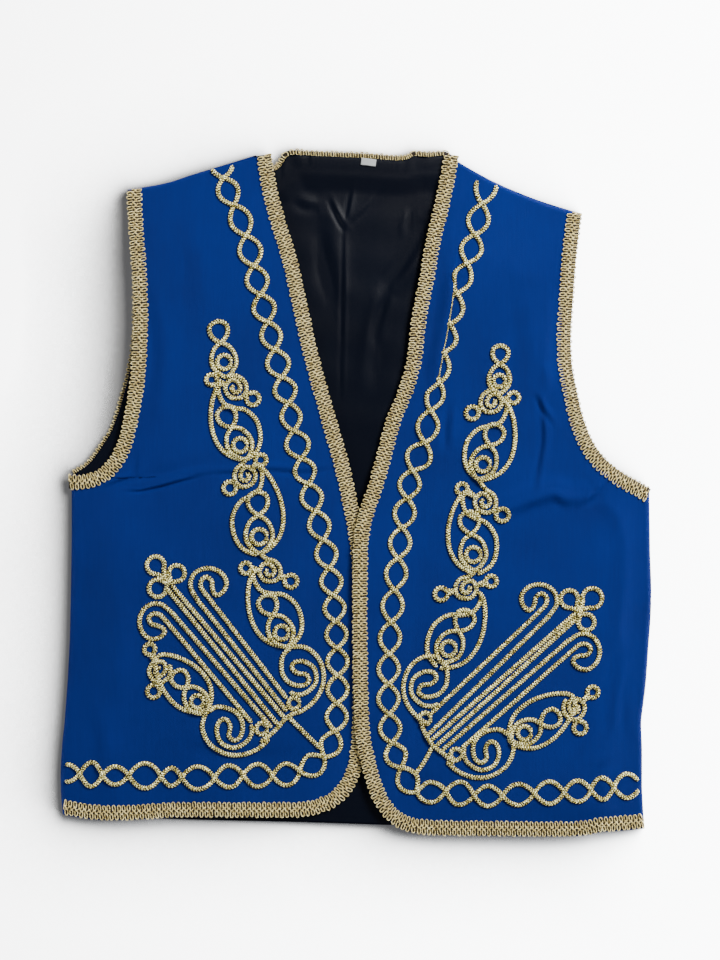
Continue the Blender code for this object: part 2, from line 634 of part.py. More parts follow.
panel("back_shell", back_outline, SHELL_T, BLUE, back_lift, rings)
panel("back_lining", back_outline, LINING_T, BLACK,
      lambda x, y: back_lift(x, y) + LINING_Z, rings)
for name, edge, turn in (("back_neck_braid", BACK_NECK, -1),
                         ("back_hem_braid", BACK_HEM, 1),
                         ("back_armhole_braid_right", BACK_RIGHT_ARM, -1),
                         ("back_armhole_braid_left", BACK_LEFT_ARM, 1)):
    panel(name, strip(smooth(edge, 16.0), turn), UNDER_BRAID_T, BRAID_GOLD,
          lambda x, y: UNDER_BRAID_Z)
tilt = math.radians(-7)
across, down = (np.array([math.cos(tilt), math.sin(tilt)]),
                np.array([-math.sin(tilt), math.cos(tilt)]))
tab = [np.array(TAB_AT) + 6.0 * i * across + 3.0 * j * down
       for i, j in ((-1, -1), (1, -1), (1, 1), (-1, 1))]
panel("size_tab", np.array(tab), 0.8, WHITE,
      lambda x, y: BAND_LIFT + LINING_Z + LINING_T + GAP)


# Fronts
def seam_fade(x, y, side_x, shoulder):
    """0 at the side and shoulder seams, 1 inside the panel."""
    p = np.array([[x, y]])
    from_shoulder = distance_to(np.array(shoulder, float), p, closed=False)[0]
    return step_up(abs(side_x - x), 0, 45) * step_up(from_shoulder, 0, 60)


def right_front(x, y):
    across = min(1.0, max(0.0, (x - RIGHT_SIDE_X) / (-8.0 - RIGHT_SIDE_X)))
    soft = seam_fade(x, y, RIGHT_SIDE_X, RIGHT_SHOULDER)
    return FRONT_Z + soft * (PUFF * math.sin(math.pi * across)
                             + folds(RIGHT_FOLDS, x, y) * (1 - step_up(x, -40, -8)))


def left_front(x, y):
    across = min(1.0, max(0.0, (LEFT_SIDE_X - x) / (LEFT_SIDE_X - 14.0)))
    soft = seam_fade(x, y, LEFT_SIDE_X, LEFT_SHOULDER)
    over = CROSS_LIFT * (1 - step_up(x, 15, 52)) * (1 - step_up(y, -8, 36))
    return FRONT_Z + over + soft * (PUFF * math.sin(math.pi * across)
                                    + folds(LEFT_FOLDS, x, y))


def build_front(side, turn, trim, side_line, arm, shoulder, height, chain, column,
                sprig, fan):
    """One front with its braid and cords; turn is -1 or 1, the side the cloth is on."""
    edge, hole = smooth(trim, 16.0), smooth(arm, 15.0)
    outline = outline_of(beside(edge, turn), side_line, beside(hole, turn), shoulder)
    front = panel("front_" + side, outline, FRONT_T, BLUE, height,
                  points=net(outline, FRONT_CELL, 7.0))
    above = on_top(front, GAP)
    for name, line in (("front_braid_", edge), ("armhole_braid_", hole)):
        panel(name + side, strip(line, turn), BRAID_T, BRAID_GOLD, above)
    above = on_top(front, GAP + 0.1)
    laid = []
    for name, cords in (("chain_", chain_cords(chain)),
                        ("scroll_column_", column_cords(column)),
                        ("sprig_", column_cords(sprig)), ("fan_", fan_cords(fan))):
        loops = cord_outline(cords, laid, CORD_W)
        panel(name + side, loops[0], CORD_T, CORD_GOLD, above, holes=loops[1:])
        laid += cords


build_front("right", -1, RIGHT_TRIM, right_side, RIGHT_ARM, right_shoulder, right_front,
            RIGHT_CHAIN, RIGHT_COLUMN, RIGHT_SPRIG, RIGHT_FAN)
build_front("left", 1, LEFT_TRIM, left_side, LEFT_ARM, left_shoulder, left_front,
            LEFT_CHAIN, LEFT_COLUMN, LEFT_SPRIG, LEFT_FAN)

# Set the origin in the middle of the outline
corners = np.array([v.co[:2] for o in vest.objects for v in o.data.vertices])
middle = (corners.min(axis=0) + corners.max(axis=0)) / 2
for obj in vest.objects:
    for v in obj.data.vertices:
        v.co.x -= middle[0]
        v.co.y -= middle[1]
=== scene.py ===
"""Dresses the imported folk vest: thin cloth fronts and back with their creases, black
satin lining, looped gimp braid along every edge and round gold cord on both fronts.

Frame: +Z up, the neck towards +Y, the wearer's left towards +X; the vest lies on its
back. Tables and lengths are in millimetres, and the meshes are written in metres.
"""
import math

import bpy
import numpy as np
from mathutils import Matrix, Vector


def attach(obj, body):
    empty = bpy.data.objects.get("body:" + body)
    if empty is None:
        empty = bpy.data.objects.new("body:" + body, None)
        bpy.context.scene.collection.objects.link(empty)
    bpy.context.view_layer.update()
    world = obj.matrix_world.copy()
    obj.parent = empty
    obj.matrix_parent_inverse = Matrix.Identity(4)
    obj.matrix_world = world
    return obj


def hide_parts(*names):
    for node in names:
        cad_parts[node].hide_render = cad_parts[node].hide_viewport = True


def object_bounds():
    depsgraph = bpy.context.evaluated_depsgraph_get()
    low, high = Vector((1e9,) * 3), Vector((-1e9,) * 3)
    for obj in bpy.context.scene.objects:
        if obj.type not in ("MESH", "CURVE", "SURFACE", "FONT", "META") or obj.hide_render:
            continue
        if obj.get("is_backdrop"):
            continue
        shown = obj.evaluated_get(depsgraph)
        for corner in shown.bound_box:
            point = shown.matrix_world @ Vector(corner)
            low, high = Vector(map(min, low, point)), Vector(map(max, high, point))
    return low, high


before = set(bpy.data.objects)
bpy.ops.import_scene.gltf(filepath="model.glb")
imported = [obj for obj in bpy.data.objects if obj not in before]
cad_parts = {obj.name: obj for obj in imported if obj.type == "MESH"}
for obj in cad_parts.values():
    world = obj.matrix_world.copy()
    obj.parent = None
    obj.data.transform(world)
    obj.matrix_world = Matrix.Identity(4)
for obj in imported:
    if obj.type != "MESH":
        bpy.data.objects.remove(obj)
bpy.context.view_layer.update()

MM = 0.001
SHIFT = np.array([0.061, 0.270, 0.0])   # from the tables to the middle of the outline

# The photograph: its size, the pixel at the tables' origin, and a pixel on the vest
PHOTO_SIZE = (720, 960)
ORIGIN_PIXEL = (356, 492)
PIXEL = 0.75

# Layers, from the ground up
SHELL_T = 1.2
LINING_T = 1.0
FRONT_T = 1.4
BAND_LIFT = 1.6
LINING_Z = 1.5
FRONT_Z = 4.4
LIFT_FLAT = 14.2          # the back's rim lies on its braid this far in,
LIFT_END = 25.4           # and is down on the ground here
CROSS_LIFT = 3.55         # the left front over the right one
PUFF = 3.4                # loft of each front over the back
BRAID_W = 12.0
EYE = 7.6                 # half the width of an eye, between cord centres
EYE_ROUND = 0.85          # power of the chain's sine: less is rounder
RIGHT_SIDE_X = -222.0
LEFT_SIDE_X = 222.0
RIGHT_LOFT_X = -8.0       # the loft is back to nothing here, at the centre
LEFT_LOFT_X = 14.0

# Outlines, x and y. Each edge runs between two corners of its panel. A trim is the
# outer edge of the braid: neck, front edge, hem.
RIGHT_TRIM = [
    (-63.0, 254.2), (-60.0, 234.0), (-53.2, 205.5), (-43.5, 174.0), (-36.8, 144.0),
    (-27.0, 100.5), (-14.2, 54.0), (-5.2, 22.5), (1.5, -7.5), (6.8, -36.0), (9.0, -66.0),
    (9.0, -111.0), (9.0, -156.0), (8.2, -186.0), (3.8, -211.5), (-6.8, -229.5),
    (-21.0, -239.2), (-42.0, -243.8), (-87.0, -243.8), (-132.0, -243.8), (-169.5, -246.0),
    (-195.8, -246.0), (-220.5, -242.2)]
RIGHT_SIDE = [
    (-220.5, -242.2), (-222.0, -219.8), (-221.2, -193.5), (-219.0, -171.0),
    (-216.8, -141.0), (-215.2, -111.0), (-214.5, -81.0), (-213.8, -36.0), (-213.8, 13.5)]
RIGHT_ARM = [
    (-213.8, 13.5), (-204.0, 13.5), (-195.0, 16.5), (-186.0, 24.0), (-178.5, 39.0),
    (-174.8, 54.0), (-171.8, 69.0), (-168.8, 91.5), (-167.2, 129.0), (-168.0, 159.0),
    (-170.2, 189.0), (-171.8, 210.0), (-172.5, 227.2)]
RIGHT_SHOULDER = [
    (-172.5, 227.2), (-147.0, 231.8), (-124.5, 239.2), (-102.0, 246.0), (-75.0, 254.2)]

LEFT_TRIM = [
    (66.0, 254.2), (63.0, 237.8), (59.2, 219.0), (51.8, 189.0), (47.2, 160.5),
    (41.2, 130.5), (38.2, 102.8), (32.2, 79.5), (22.5, 55.5), (15.0, 27.8), (8.2, 3.8),
    (1.5, -15.8), (-2.2, -37.5), (-3.0, -66.0), (-3.0, -111.0), (-2.2, -156.0),
    (-0.8, -182.2), (3.8, -205.5), (10.5, -227.2), (20.2, -243.0), (34.5, -253.5),
    (54.0, -257.2), (108.0, -258.0), (164.2, -258.0), (183.0, -255.0), (199.5, -254.2),
    (216.8, -252.8)]
LEFT_SIDE = [
    (216.8, -252.8), (215.2, -223.5), (215.2, -193.5), (214.5, -172.5), (217.5, -148.5),
    (219.8, -118.5), (222.0, -81.0), (221.2, -43.5), (220.5, 3.8)]
LEFT_ARM = [
    (220.5, 3.8), (211.5, 9.0), (199.5, 15.8), (187.5, 25.5), (177.8, 39.0), (171.0, 56.2),
    (166.5, 75.0), (162.8, 94.5), (162.0, 117.8), (163.5, 144.0), (165.8, 174.0),
    (168.0, 192.8), (170.2, 209.2)]
LEFT_SHOULDER = [(170.2, 209.2), (145.5, 216.0), (123.0, 224.2), (100.5, 234.8), (78.0, 248.2)]

BACK_NECK = [
    (-75.0, 247.5), (-69.0, 246.2), (-64.5, 245.4), (-61.0, 246.8), (-57.8, 252.0),
    (-54.0, 257.0), (-47.0, 258.4), (-33.8, 257.6), (-12.0, 256.6), (10.5, 255.6),
    (29.0, 254.0), (38.0, 254.5), (43.5, 257.4), (55.5, 256.6), (69.0, 257.0), (78.0, 248.2)]
BACK_RIGHT_ARM = [
    (-214.0, 16.5), (-203.0, 23.5), (-192.2, 38.3), (-184.6, 52.2), (-175.6, 82.0),
    (-169.5, 114.0), (-168.8, 144.0), (-168.8, 174.0), (-170.2, 204.0), (-172.5, 227.2)]
BACK_LEFT_ARM = [
    (220.5, 3.8), (210.8, 6.8), (198.8, 13.5), (185.2, 24.8), (175.5, 39.0), (168.8, 56.2),
    (164.2, 75.0), (160.5, 94.5), (159.8, 117.8), (161.2, 144.0), (163.5, 174.0),
    (166.5, 192.8), (170.2, 209.2)]
BACK_HEM = [
    (-220.5, -240.0), (-132.0, -241.5), (-42.0, -241.5), (48.0, -242.2), (138.0, -241.5),
    (216.0, -240.0)]

# Broad folds of the fronts: from x, y to x, y, half width, height
RIGHT_FOLDS = [
    ((-143.2, 192.8), (-154.5, 46.5), 30.0, 1.6),
    ((-184.5, -21.0), (-195.8, -208.5), 30.0, 2.0),
    ((-117.0, -186.0), (-19.5, -156.0), 34.0, 1.4),
]
LEFT_FOLDS = [
    ((79.5, 172.5), (54.0, 50.2), 22.0, 2.0),
    ((117.0, 151.5), (123.0, 16.5), 34.0, 1.8),
    ((192.0, -111.0), (186.0, -223.5), 24.0, 2.2),
    ((153.0, -223.5), (183.0, -242.2), 24.0, 1.4),
]


# Chains: the eye's number, x, y. Two cords cross at every whole number.
RIGHT_CHAIN = [
    (-0.5, (-100.5, 243.8)), (0, (-99.0, 235.5)), (2, (-82.3, 192.0)), (3, (-76.5, 169.4)),
    (4, (-71.6, 148.1)), (5, (-66.1, 127.4)), (6, (-61.0, 106.7)), (7, (-55.8, 86.1)),
    (8, (-50.6, 66.7)), (9, (-46.7, 46.0)), (10, (-40.9, 25.4)), (11, (-35.9, 6.2)),
    (14, (-20.2, -57.0)), (17, (-14.2, -117.0)), (19, (-14.2, -158.2)),
    (20, (-15.8, -179.2)), (21, (-24.0, -198.3)), (22, (-42.0, -209.1)),
    (23, (-62.5, -212.5)), (24, (-84.4, -211.8)), (25, (-105.8, -213.9)),
    (26, (-130.2, -213.6)), (27, (-146.0, -212.8)), (28, (-170.0, -212.2)),
    (29, (-189.8, -212.2)), (30, (-207.0, -211.1)), (30.6, (-218.4, -210.8))]
LEFT_CHAIN = [
    (-0.6, (98.2, 231.8)), (0, (94.5, 216.0)), (2, (83.2, 171.0)), (3, (75.4, 148.6)),
    (4, (69.9, 125.5)), (5, (65.4, 104.2)), (6, (62.5, 82.0)), (7, (55.7, 61.0)),
    (8, (51.6, 37.1)), (9, (42.6, 16.2)), (10, (38.3, -4.8)), (12, (31.5, -49.5)),
    (15, (24.8, -120.8)), (17, (24.8, -165.8)), (18, (27.0, -187.5)), (19, (33.8, -206.2)),
    (20, (45.8, -224.0)), (21, (67.3, -224.1)), (22, (88.4, -227.2)), (23, (109.7, -227.4)),
    (24, (133.4, -225.4)), (25, (155.6, -224.5)), (26, (175.8, -222.8)),
    (27, (193.0, -220.9)), (27.9, (211.8, -219.9))]
# Eyes sewn wider or narrower than EYE: the eye's number and its share of that width
RIGHT_EYES = {2: 1.07, 3: 1.03, 4: 1.05, 5: 0.95, 6: 1.08, 7: 1.04, 8: 0.93, 9: 1.12,
              21: 1.06, 22: 1.08, 23: 1.12, 24: 1.08, 25: 1.14, 26: 0.9, 27: 1.24,
              28: 0.9, 29: 1.2, 30: 0.85}
LEFT_EYES = {2: 0.9, 5: 0.75, 6: 0.8, 8: 1.18, 21: 1.14, 23: 1.04, 24: 1.1, 25: 1.04,
             26: 1.08, 27: 1.2}


# Scroll columns: buds, leaves and knots in order from the top.
#   bud: loop centre, foot.  leaf: start, foot, side of its S-shaped edge.
#   pod: a leaf with two round edges, start, foot.
#   knot: swirl centre, first small loop, second small loop.
RIGHT_COLUMN = [
    ("bud", (-102.8, 120.8), (-96.8, 86.2)),
    ("knot", (-90.0, 78.0), (-108.0, 84.0), (-77.2, 69.8)),
    ("leaf", (-100.5, 81.0), (-83.2, 23.6), 1),
    ("bud", (-96.8, 56.8), (-82.0, 24.8)),
    ("knot", (-83.2, 12.0), (-71.2, 24.0), (-94.5, 3.0)),
    ("leaf", (-75.4, 20.0), (-72.0, -47.2), -1),
    ("bud", (-73.5, -7.5), (-72.0, -45.8)),
    ("knot", (-64.5, -59.2), (-82.5, -57.0), (-48.8, -66.8)),
    ("leaf", (-74.6, -58.5), (-50.9, -116.2), 1),
    ("bud", (-66.0, -84.0), (-51.0, -115.5)),
]
LEFT_COLUMN = [
    ("bud", (108.0, 103.5), (106.8, 73.5)),
    ("knot", (101.2, 67.5), (117.8, 70.5), (87.0, 59.2)),
    ("leaf", (110.0, 68.0), (93.6, 8.6), -1),
    ("bud", (103.5, 43.5), (91.0, 9.8)),
    ("knot", (96.8, -7.5), (79.5, 2.2), (109.5, -17.2)),
    ("leaf", (83.5, 0.6), (89.2, -61.8), 1),
    ("bud", (85.0, -22.0), (89.2, -58.5)),
    ("knot", (82.5, -72.0), (101.2, -66.8), (63.8, -76.5)),
    ("leaf", (91.8, -75.2), (62.4, -132.0), -1),
    ("bud", (81.3, -95.6), (63.8, -127.5)),
]
RIGHT_SPRIG = [
    ("knot", (-147.0, -134.2), (-154.5, -117.8), (-151.5, -149.2)),
    ("pod", (-148.5, -123.1), (-110.3, -162.7)),
    ("bud", (-131.8, -139.7), (-112.7, -165.0)),
]
LEFT_SPRIG = [
    ("knot", (163.3, -162.0), (177.2, -149.8), (167.7, -176.4)),
    ("pod", (163.1, -153.6), (115.2, -187.6)),
    ("bud", (146.3, -169.4), (116.5, -185.5)),
]
# Fans. Hooks: middle of the two strands where the hook starts, where each strand
# ends at the base, and the side the hook turns to. Loops: centre, radius, join.
RIGHT_FAN = {
    "hooks": [((-112.5, -82.5), (-51.8, -164.2), (-51.8, -154.5), 1),
              ((-136.5, -97.5), (-63.0, -176.2), (-78.0, -172.5), -1)],
    "strands": [((-138.0, -69.8), (-53.2, -169.5)), ((-141.8, -72.0), (-58.5, -174.0))],
    "loops": [((-150.0, -54.8), 6.6, (-140.2, -68.2)), ((-134.2, -60.8), 6.0, (-138.8, -69.0)),
              ((-148.5, -72.0), 6.6, (-140.2, -68.2))],
    "rings": [(-46.5, -158.2), (-70.5, -177.0)],
    "stem": [(-51.8, -167.2), (-39.8, -179.2), (-27.0, -192.0)],
    "base": [(-71.5, -187.0), (-62.0, -179.8), (-52.5, -169.5), (-46.5, -165.8),
             (-41.0, -164.8)],
    "scrolls": [((-42.0, -138.0), 0.75, 82.0, -1), ((-92.3, -178.0), 0.78, 8.0, 1)],
}
LEFT_FAN = {
    "hooks": [((137.2, -94.8), (53.4, -182.6), (56.0, -166.2), -1),
              ((156.8, -118.2), (64.6, -193.4), (79.0, -192.0), 1)],
    "strands": [((165.0, -90.2), (56.2, -186.2)), ((167.0, -93.0), (60.2, -190.2))],
    "loops": [((159.8, -80.2), 6.6, (166.5, -90.0)), ((177.0, -79.5), 7.4, (166.5, -90.0)),
              ((172.5, -97.5), 6.0, (166.5, -90.0))],
    "rings": [(51.8, -169.5), (75.0, -196.5)],
    "stem": [(57.0, -191.2), (51.0, -202.5), (43.5, -212.2)],
    "base": [(73.5, -203.2), (65.2, -195.8), (57.0, -189.0), (51.0, -179.2), (48.8, -172.5)],
    "scrolls": [((54.0, -146.2), 0.78, 82.0, 1), ((95.2, -195.0), 0.78, 8.0, -1)],
}

# One bud, one hook, one base scroll with its outer arc, and one leaf: across and along.
# Buds and leaves are in shares of their length, from start to foot; a hook's unit and
# the radius of a fan's small rings are in millimetres.
HOOK_UNIT = 0.75
RING_RADIUS = 4.2
JOIN_PULL = 0.35          # how far a fan loop's next points are drawn to its join
BUD = [(0, 0.26), (-0.12, 0.17), (-0.19, 0.04), (-0.17, -0.12), (0, -0.2), (0.17, -0.12),
       (0.19, 0.04), (0.12, 0.17), (0, 0.26), (-0.17, 0.38), (-0.26, 0.6), (-0.22, 0.81),
       (0, 1.0), (0.22, 0.81), (0.26, 0.6), (0.17, 0.38), (0, 0.26)]
BUD_RING_AT = 0.68
BUD_RING = 0.15
HOOK = [(-5.0, -5), (-5.0, 5), (-2.5, 21), (5.7, 28.4), (15, 29), (24.4, 24), (30, 14.2),
        (29.2, 3.7), (22, -2), (14.1, -2.2), (12.1, 2.4), (14.6, 8), (17.8, 12.8),
        (16.5, 19.2), (10.3, 19.9), (5.6, 14.6), (5.0, 5), (5.0, -5)]
BASE_SCROLL = [(-27, -13), (-17, -20), (-1, -18), (8, -9), (9, 3), (4, 9.5), (-2.5, 6),
               (-2.7, -3), (-7.2, -9), (-13.2, -7), (-15, 2.4), (-9, 13.5), (4, 16.5),
               (15, 9), (18.6, 0), (17, -8)]
BASE_ARC = [(-28, -13), (-29, 2), (-20, 16), (-4, 23.5), (12, 22.5), (26, 15), (36, 4)]
LEAF_S = [(-0.05, 0.0), (-0.07, 0.12), (-0.04, 0.25), (0.06, 0.33), (0.19, 0.40),
          (0.28, 0.55), (0.285, 0.71), (0.24, 0.85), (0.16, 0.94), (0.03, 1.0)]
LEAF_ARC = [(0.0, -0.01), (-0.09, 0.05), (-0.19, 0.2), (-0.265, 0.41), (-0.28, 0.62),
            (-0.235, 0.79), (-0.14, 0.91), (0.0, 1.0)]
# A knot: radii of its two loops, and how far from its middle they start
KNOT_LOOPS = (4.1, 4.8)
KNOT_REACH = 8.0
# Its scroll from the middle outward: degrees from the line of its loops, radius
SCROLL = [(150, 2.0), (205, 3.1), (266, 3.3), (312, 3.6), (368, 3.5), (430, 3.7),
          (480, 5.6), (515, 7.2), (566, 7.9), (620, 7.9), (677, 8.2), (720, 8.3),
          (770, 8.0), (810, 8.2), (840, 9.2)]

# Creases: points of the line, half width, height on the line, height just left of it
RIGHT_CREASES = [
    (((-171.3, 0.5), (-162.0, 0.0), (-154.0, 1.7), (-144.0, 4.0), (-132.0, 7.4),
      (-123.0, 9.7), (-117.4, 12.2)), 1.1, -1.5, 0.7),
    (((-166.0, 5.0), (-140.0, 9.5), (-120.0, 15.0), (-104.0, 17.0)), 3.2, 0.9, -0.4),
    (((-112.0, 13.5), (-90.0, 13.5), (-66.0, 15.5), (-40.0, 14.0), (-16.0, 17.0)),
     2.0, -1.0, 0.8),
    (((-188.0, 2.0), (-177.0, 7.4), (-166.0, 10.8)), 1.6, -1.3, 0.9),
    (((-164.5, 28.0), (-165.5, 18.0), (-167.0, 9.0)), 1.8, -0.9, 0.7),
    (((-205.5, 6.0), (-208.5, -51.0), (-210.0, -112.5), (-213.0, -160.0)), 2.2, 0.7, -0.5),
    (((-160.0, 160.0), (-152.0, 100.0), (-160.0, 45.0)), 6.0, -0.8, 0.8),
    (((-206.0, -150.0), (-196.0, -190.0), (-200.0, -226.0)), 5.0, -1.1, 0.8),
    (((-186.0, -60.0), (-176.0, -110.0), (-183.0, -165.0)), 9.0, 0.7, -0.7),
    (((-130.0, -190.0), (-90.0, -199.0), (-54.0, -196.0)), 6.0, -0.7, 0.7),
    (((-140.0, 205.0), (-128.0, 170.0), (-126.0, 132.0)), 7.0, -0.6, 0.7),
]
LEFT_CREASES = [
    (((136.5, 69.0), (138.8, 43.5), (136.5, 24.0), (132.0, -2.0)), 2.2, -1.4, 1.1),
    (((141.0, 98.0), (143.5, 82.0), (139.0, 66.0)), 5.0, 1.1, 0.8),
    (((133.5, 72.0), (140.5, 59.5), (147.0, 50.0)), 1.7, -1.3, 1.0),
    (((104.0, -17.0), (117.0, -12.0), (131.0, -6.5), (143.0, -2.5), (150.0, -1.5),
      (158.0, -5.0), (168.0, -5.0), (176.0, -8.0)), 4.2, 1.9, 1.3),
    (((146.0, -3.5), (150.5, -7.5), (156.0, -12.0)), 1.7, -0.8, 0.6),
    (((171.0, -10.0), (179.6, -5.4), (183.0, -1.0), (188.5, 10.0)), 1.7, -1.5, 1.2),
    (((173.0, -9.0), (177.0, -3.0), (182.0, 4.0)), 1.5, -1.0, 0.8),
    (((184.0, -2.0), (192.0, -12.0), (199.5, -24.0), (202.5, -48.0), (201.0, -78.0),
      (198.0, -108.0), (199.0, -128.0)), 6.5, 2.5, 1.7),
    (((196.0, -120.0), (190.0, -150.0), (186.0, -182.0)), 4.5, -1.4, 1.1),
    (((206.0, -128.0), (200.0, -160.0), (204.0, -190.0)), 3.5, -0.9, 0.9),
    (((186.0, -202.0), (178.0, -216.0), (180.0, -232.0)), 4.0, -1.1, 0.9),
    (((70.0, 66.0), (67.0, 48.0), (66.5, 31.0)), 3.0, -1.1, 0.8),
    (((116.0, 152.0), (120.0, 110.0), (119.0, 60.0)), 8.0, -0.9, 0.8),
    (((142.0, 160.0), (146.0, 120.0), (139.0, 84.0)), 6.0, 0.6, -0.7),
]
LINING_CREASES = [
    (((-1.3, 245.0), (-4.2, 226.0), (-7.0, 212.0), (-9.2, 204.0)), 1.3, -1.1, 0.9),
    (((-21.0, 220.0), (-16.0, 209.0), (-10.5, 199.0), (-7.0, 197.0)), 1.6, -1.3, 0.9),
    (((30.0, 243.5), (18.0, 229.0), (8.0, 216.0), (-3.0, 205.0)), 1.4, 1.2, -0.9),
    (((-9.6, 203.0), (-10.2, 185.5), (-10.4, 160.0), (-10.8, 129.0), (-12.0, 70.0)),
     1.3, -0.9, 0.5),
    (((39.0, 212.0), (36.5, 203.0), (35.0, 193.0)), 1.5, 0.8, -0.7),
    (((52.0, 206.0), (42.0, 186.0), (31.0, 168.0), (19.0, 154.0)), 5.0, -2.2, 1.3),
    (((24.0, 150.0), (16.0, 128.0), (13.0, 110.0)), 3.0, -1.0, 0.8),
    (((-27.0, 200.0), (-24.0, 170.0), (-17.0, 140.0)), 6.0, -1.3, 0.9),
    (((-44.0, 236.0), (-36.0, 228.0), (-24.0, 222.0)), 3.5, -1.2, 1.0),
    (((-47.0, 218.0), (-38.0, 213.0), (-28.0, 214.0)), 3.0, -1.0, 0.9),
    (((16.0, 150.0), (8.0, 110.0), (4.0, 75.0)), 5.0, 0.8, -0.7),
]
BACK_CREASES = [
    (((-120.0, 120.0), (-60.0, 96.0), (10.0, 104.0)), 5.0, 0.9, 0.5),
    (((60.0, 60.0), (90.0, -20.0), (84.0, -120.0)), 7.0, 1.1, 0.6),
    (((-150.0, -30.0), (-128.0, -110.0), (-140.0, -190.0)), 6.0, 1.0, 0.5),
    (((-40.0, -60.0), (-20.0, -130.0), (-34.0, -200.0)), 8.0, 0.9, 0.5),
    (((120.0, 130.0), (134.0, 70.0), (126.0, 20.0)), 5.0, 0.8, 0.5),
]
PLEAT = [(77.0, 186.0), (73.9, 160.5), (72.0, 146.3), (69.0, 126.8), (66.4, 112.5),
         (64.5, 102.8), (62.6, 93.0), (60.5, 80.0), (57.5, 64.0)]
PLEAT_H = 2.5             # height of the step beside the left front's chain
ROLL_W = 4.0              # width of the turn at side and shoulder seams
ROLL_H = 2.6

# How deep the creases are sewn, and the uneven ground: wave length, height
RIGHT_DEPTH = 1.25
LEFT_DEPTH = 1.6
UNEVEN = (52, 0.35)
LINING_UNEVEN = (40, 0.5)
# A crease's softer bell: how many widths beside it, and how many wide
SOFT_BESIDE = 1.7
SOFT_WIDTH = 1.4

# Where smooth steps of the cloth begin and end
SIDE_FADE = (0, 45)           # from the side seam
SHOULDER_FADE = (0, 60)       # from the shoulder seam
RIGHT_FOLDS_END = (-40, -8)   # x
CROSS_X = (15, 52)            # the left front comes down from the right one, x
CROSS_Y = (-8, 36)            # and y
PLEAT_BACK = (1.5, 12)        # behind the pleat's step
PLEAT_STEP = (-0.7, 0.9)
PLEAT_FOOT = (70, 98)         # y
PLEAT_TOP = (150, 186)
NECK_FOOT = (-20, 60)         # the open neck, y
NECK_TOP = (205, 236)
NECK_HALF = (8, 34)           # half its width at the foot
NECK_X = -3                   # its middle
NECK_WIDEN = 0.2              # how much wider it is for each millimetre up

# The chain at the pleat: its y where the squeeze begins and ends, the x that it stays
# below, its place beside the step, the most that it is squeezed, and how soon
SQUEEZE_FOOT = (74, 88)
SQUEEZE_TOP = (150, 172)
SQUEEZE_X = 120
SQUEEZE_GAP = 0.6
SQUEEZE = 0.72
SQUEEZE_BEHIND = (0.3, 3.5)

# Puckers of the lining below the neck braid: from the edge, then x
GATHER_IN = (4.5, 6.5)
GATHER_OUT = (9, 16)
GATHER_LEFT = (-70, -52)
GATHER_RIGHT = (50, 70)
GATHER_PITCH = 3.0
GATHER_UNEVEN = (1.3, 9.0)
GATHER_H = 0.16

# Gimp braid
LOOP_PITCH = 3.75
LOOP_MIDDLE = 3.1         # from the braid's middle to that of a ring
LOOP_REACH = 2.5          # half a ring across the braid
LOOP_HALF = 1.08          # and along it
LOOP_LEAN = 0.10
LOOP_SQUARE = 0.8         # power of its sine and cosine: less is squarer
LOOP_LIFT = 0.66          # its middle line over the cloth
LOOP_TILT = 0.16          # its outer end is this much higher than its middle
# How uneven the rings are: their reach, their lean, place along and height
LOOP_VARY = (0.90, 1.06)
LEAN_VARY = 0.05
PLACE_VARY = 0.12
LIFT_VARY = 0.08
THREAD_HALF = 0.43
THREAD_RISE = 0.45
TIE_REACH = 1.7           # half a tie across the braid
TIE_LIFT = 0.85
TIE_HALF = 0.46
TIE_RISE = 0.42
TIE_LAP = 0.45            # it runs this far past its quarter of a pitch
TIE_ARCH = {1: 0.50, -1: 0.20}
STRIP_HALF = 5.0          # dark strip below the threads, near black as painted shade in their gaps
STRIP_LIFT = 0.22
STRIP_RISE = 0.16
BRAID_END = 0.4           # threads stop this far from the ends
BRAID_STEP = 1.5          # step of a braid's middle line
ARM_PAST = 1.4            # steps that an armhole's braid runs on past the side seam
THREAD_SIDES = 6

# Cord
CORD_STEP = 0.53
CORD_SIDES = 8
CORD_HALF = 1.72
CORD_RISE = 0.95
CORD_SINK = 0.1           # it sits this deep in the cloth
CORD_HUMP = 1.15
CORD_LEAD = 11            # a cord's own course counts as crossed only this far on
HUMP_OTHER = (0.8, 3.4)   # from the middle of the cord below: full height, none
HUMP_OWN = (0.6, 2.6)
END_REACH = 1.8           # a cord's ends are rounded over this length, down to a share
END_SLIM = 0.55
BEAD = 1.95               # a stitch along the cord, and how much it widens and lifts it
BEAD_WIDE = 0.08
BEAD_HIGH = 0.13
COURSE_STEP = 1.0         # step of the drawn courses

# Cells of the cloth grids; where an edge has finer ones, their reach and size
CLOTH_CELL = 2.6
CLOTH_EDGE = (3.0, 0.55)
LINING_CELL = 3.0
SHELL_CELL = 5.0
SHELL_EDGE = (3.0, 1.2)
SHELL_NECK = (14.0, 1.6)
SHELL_HEM = (3.0, 1.6)
FRONT_SIZE = (205.0, 495.0)   # lengths that the cells are laid out on
BACK_SIZE = (440.0, 500.0)
# Finer places across and down each front: share of the length, reach, cell
RIGHT_FINE = ((), ((0.508, 9.0, 0.7),))
LEFT_FINE = (((0.228, 3.0, 0.5),), ())
# Where each front's edge becomes its hem
RIGHT_CORNER = (-6.8, -229.5)
LEFT_CORNER = (13.0, -232.0)
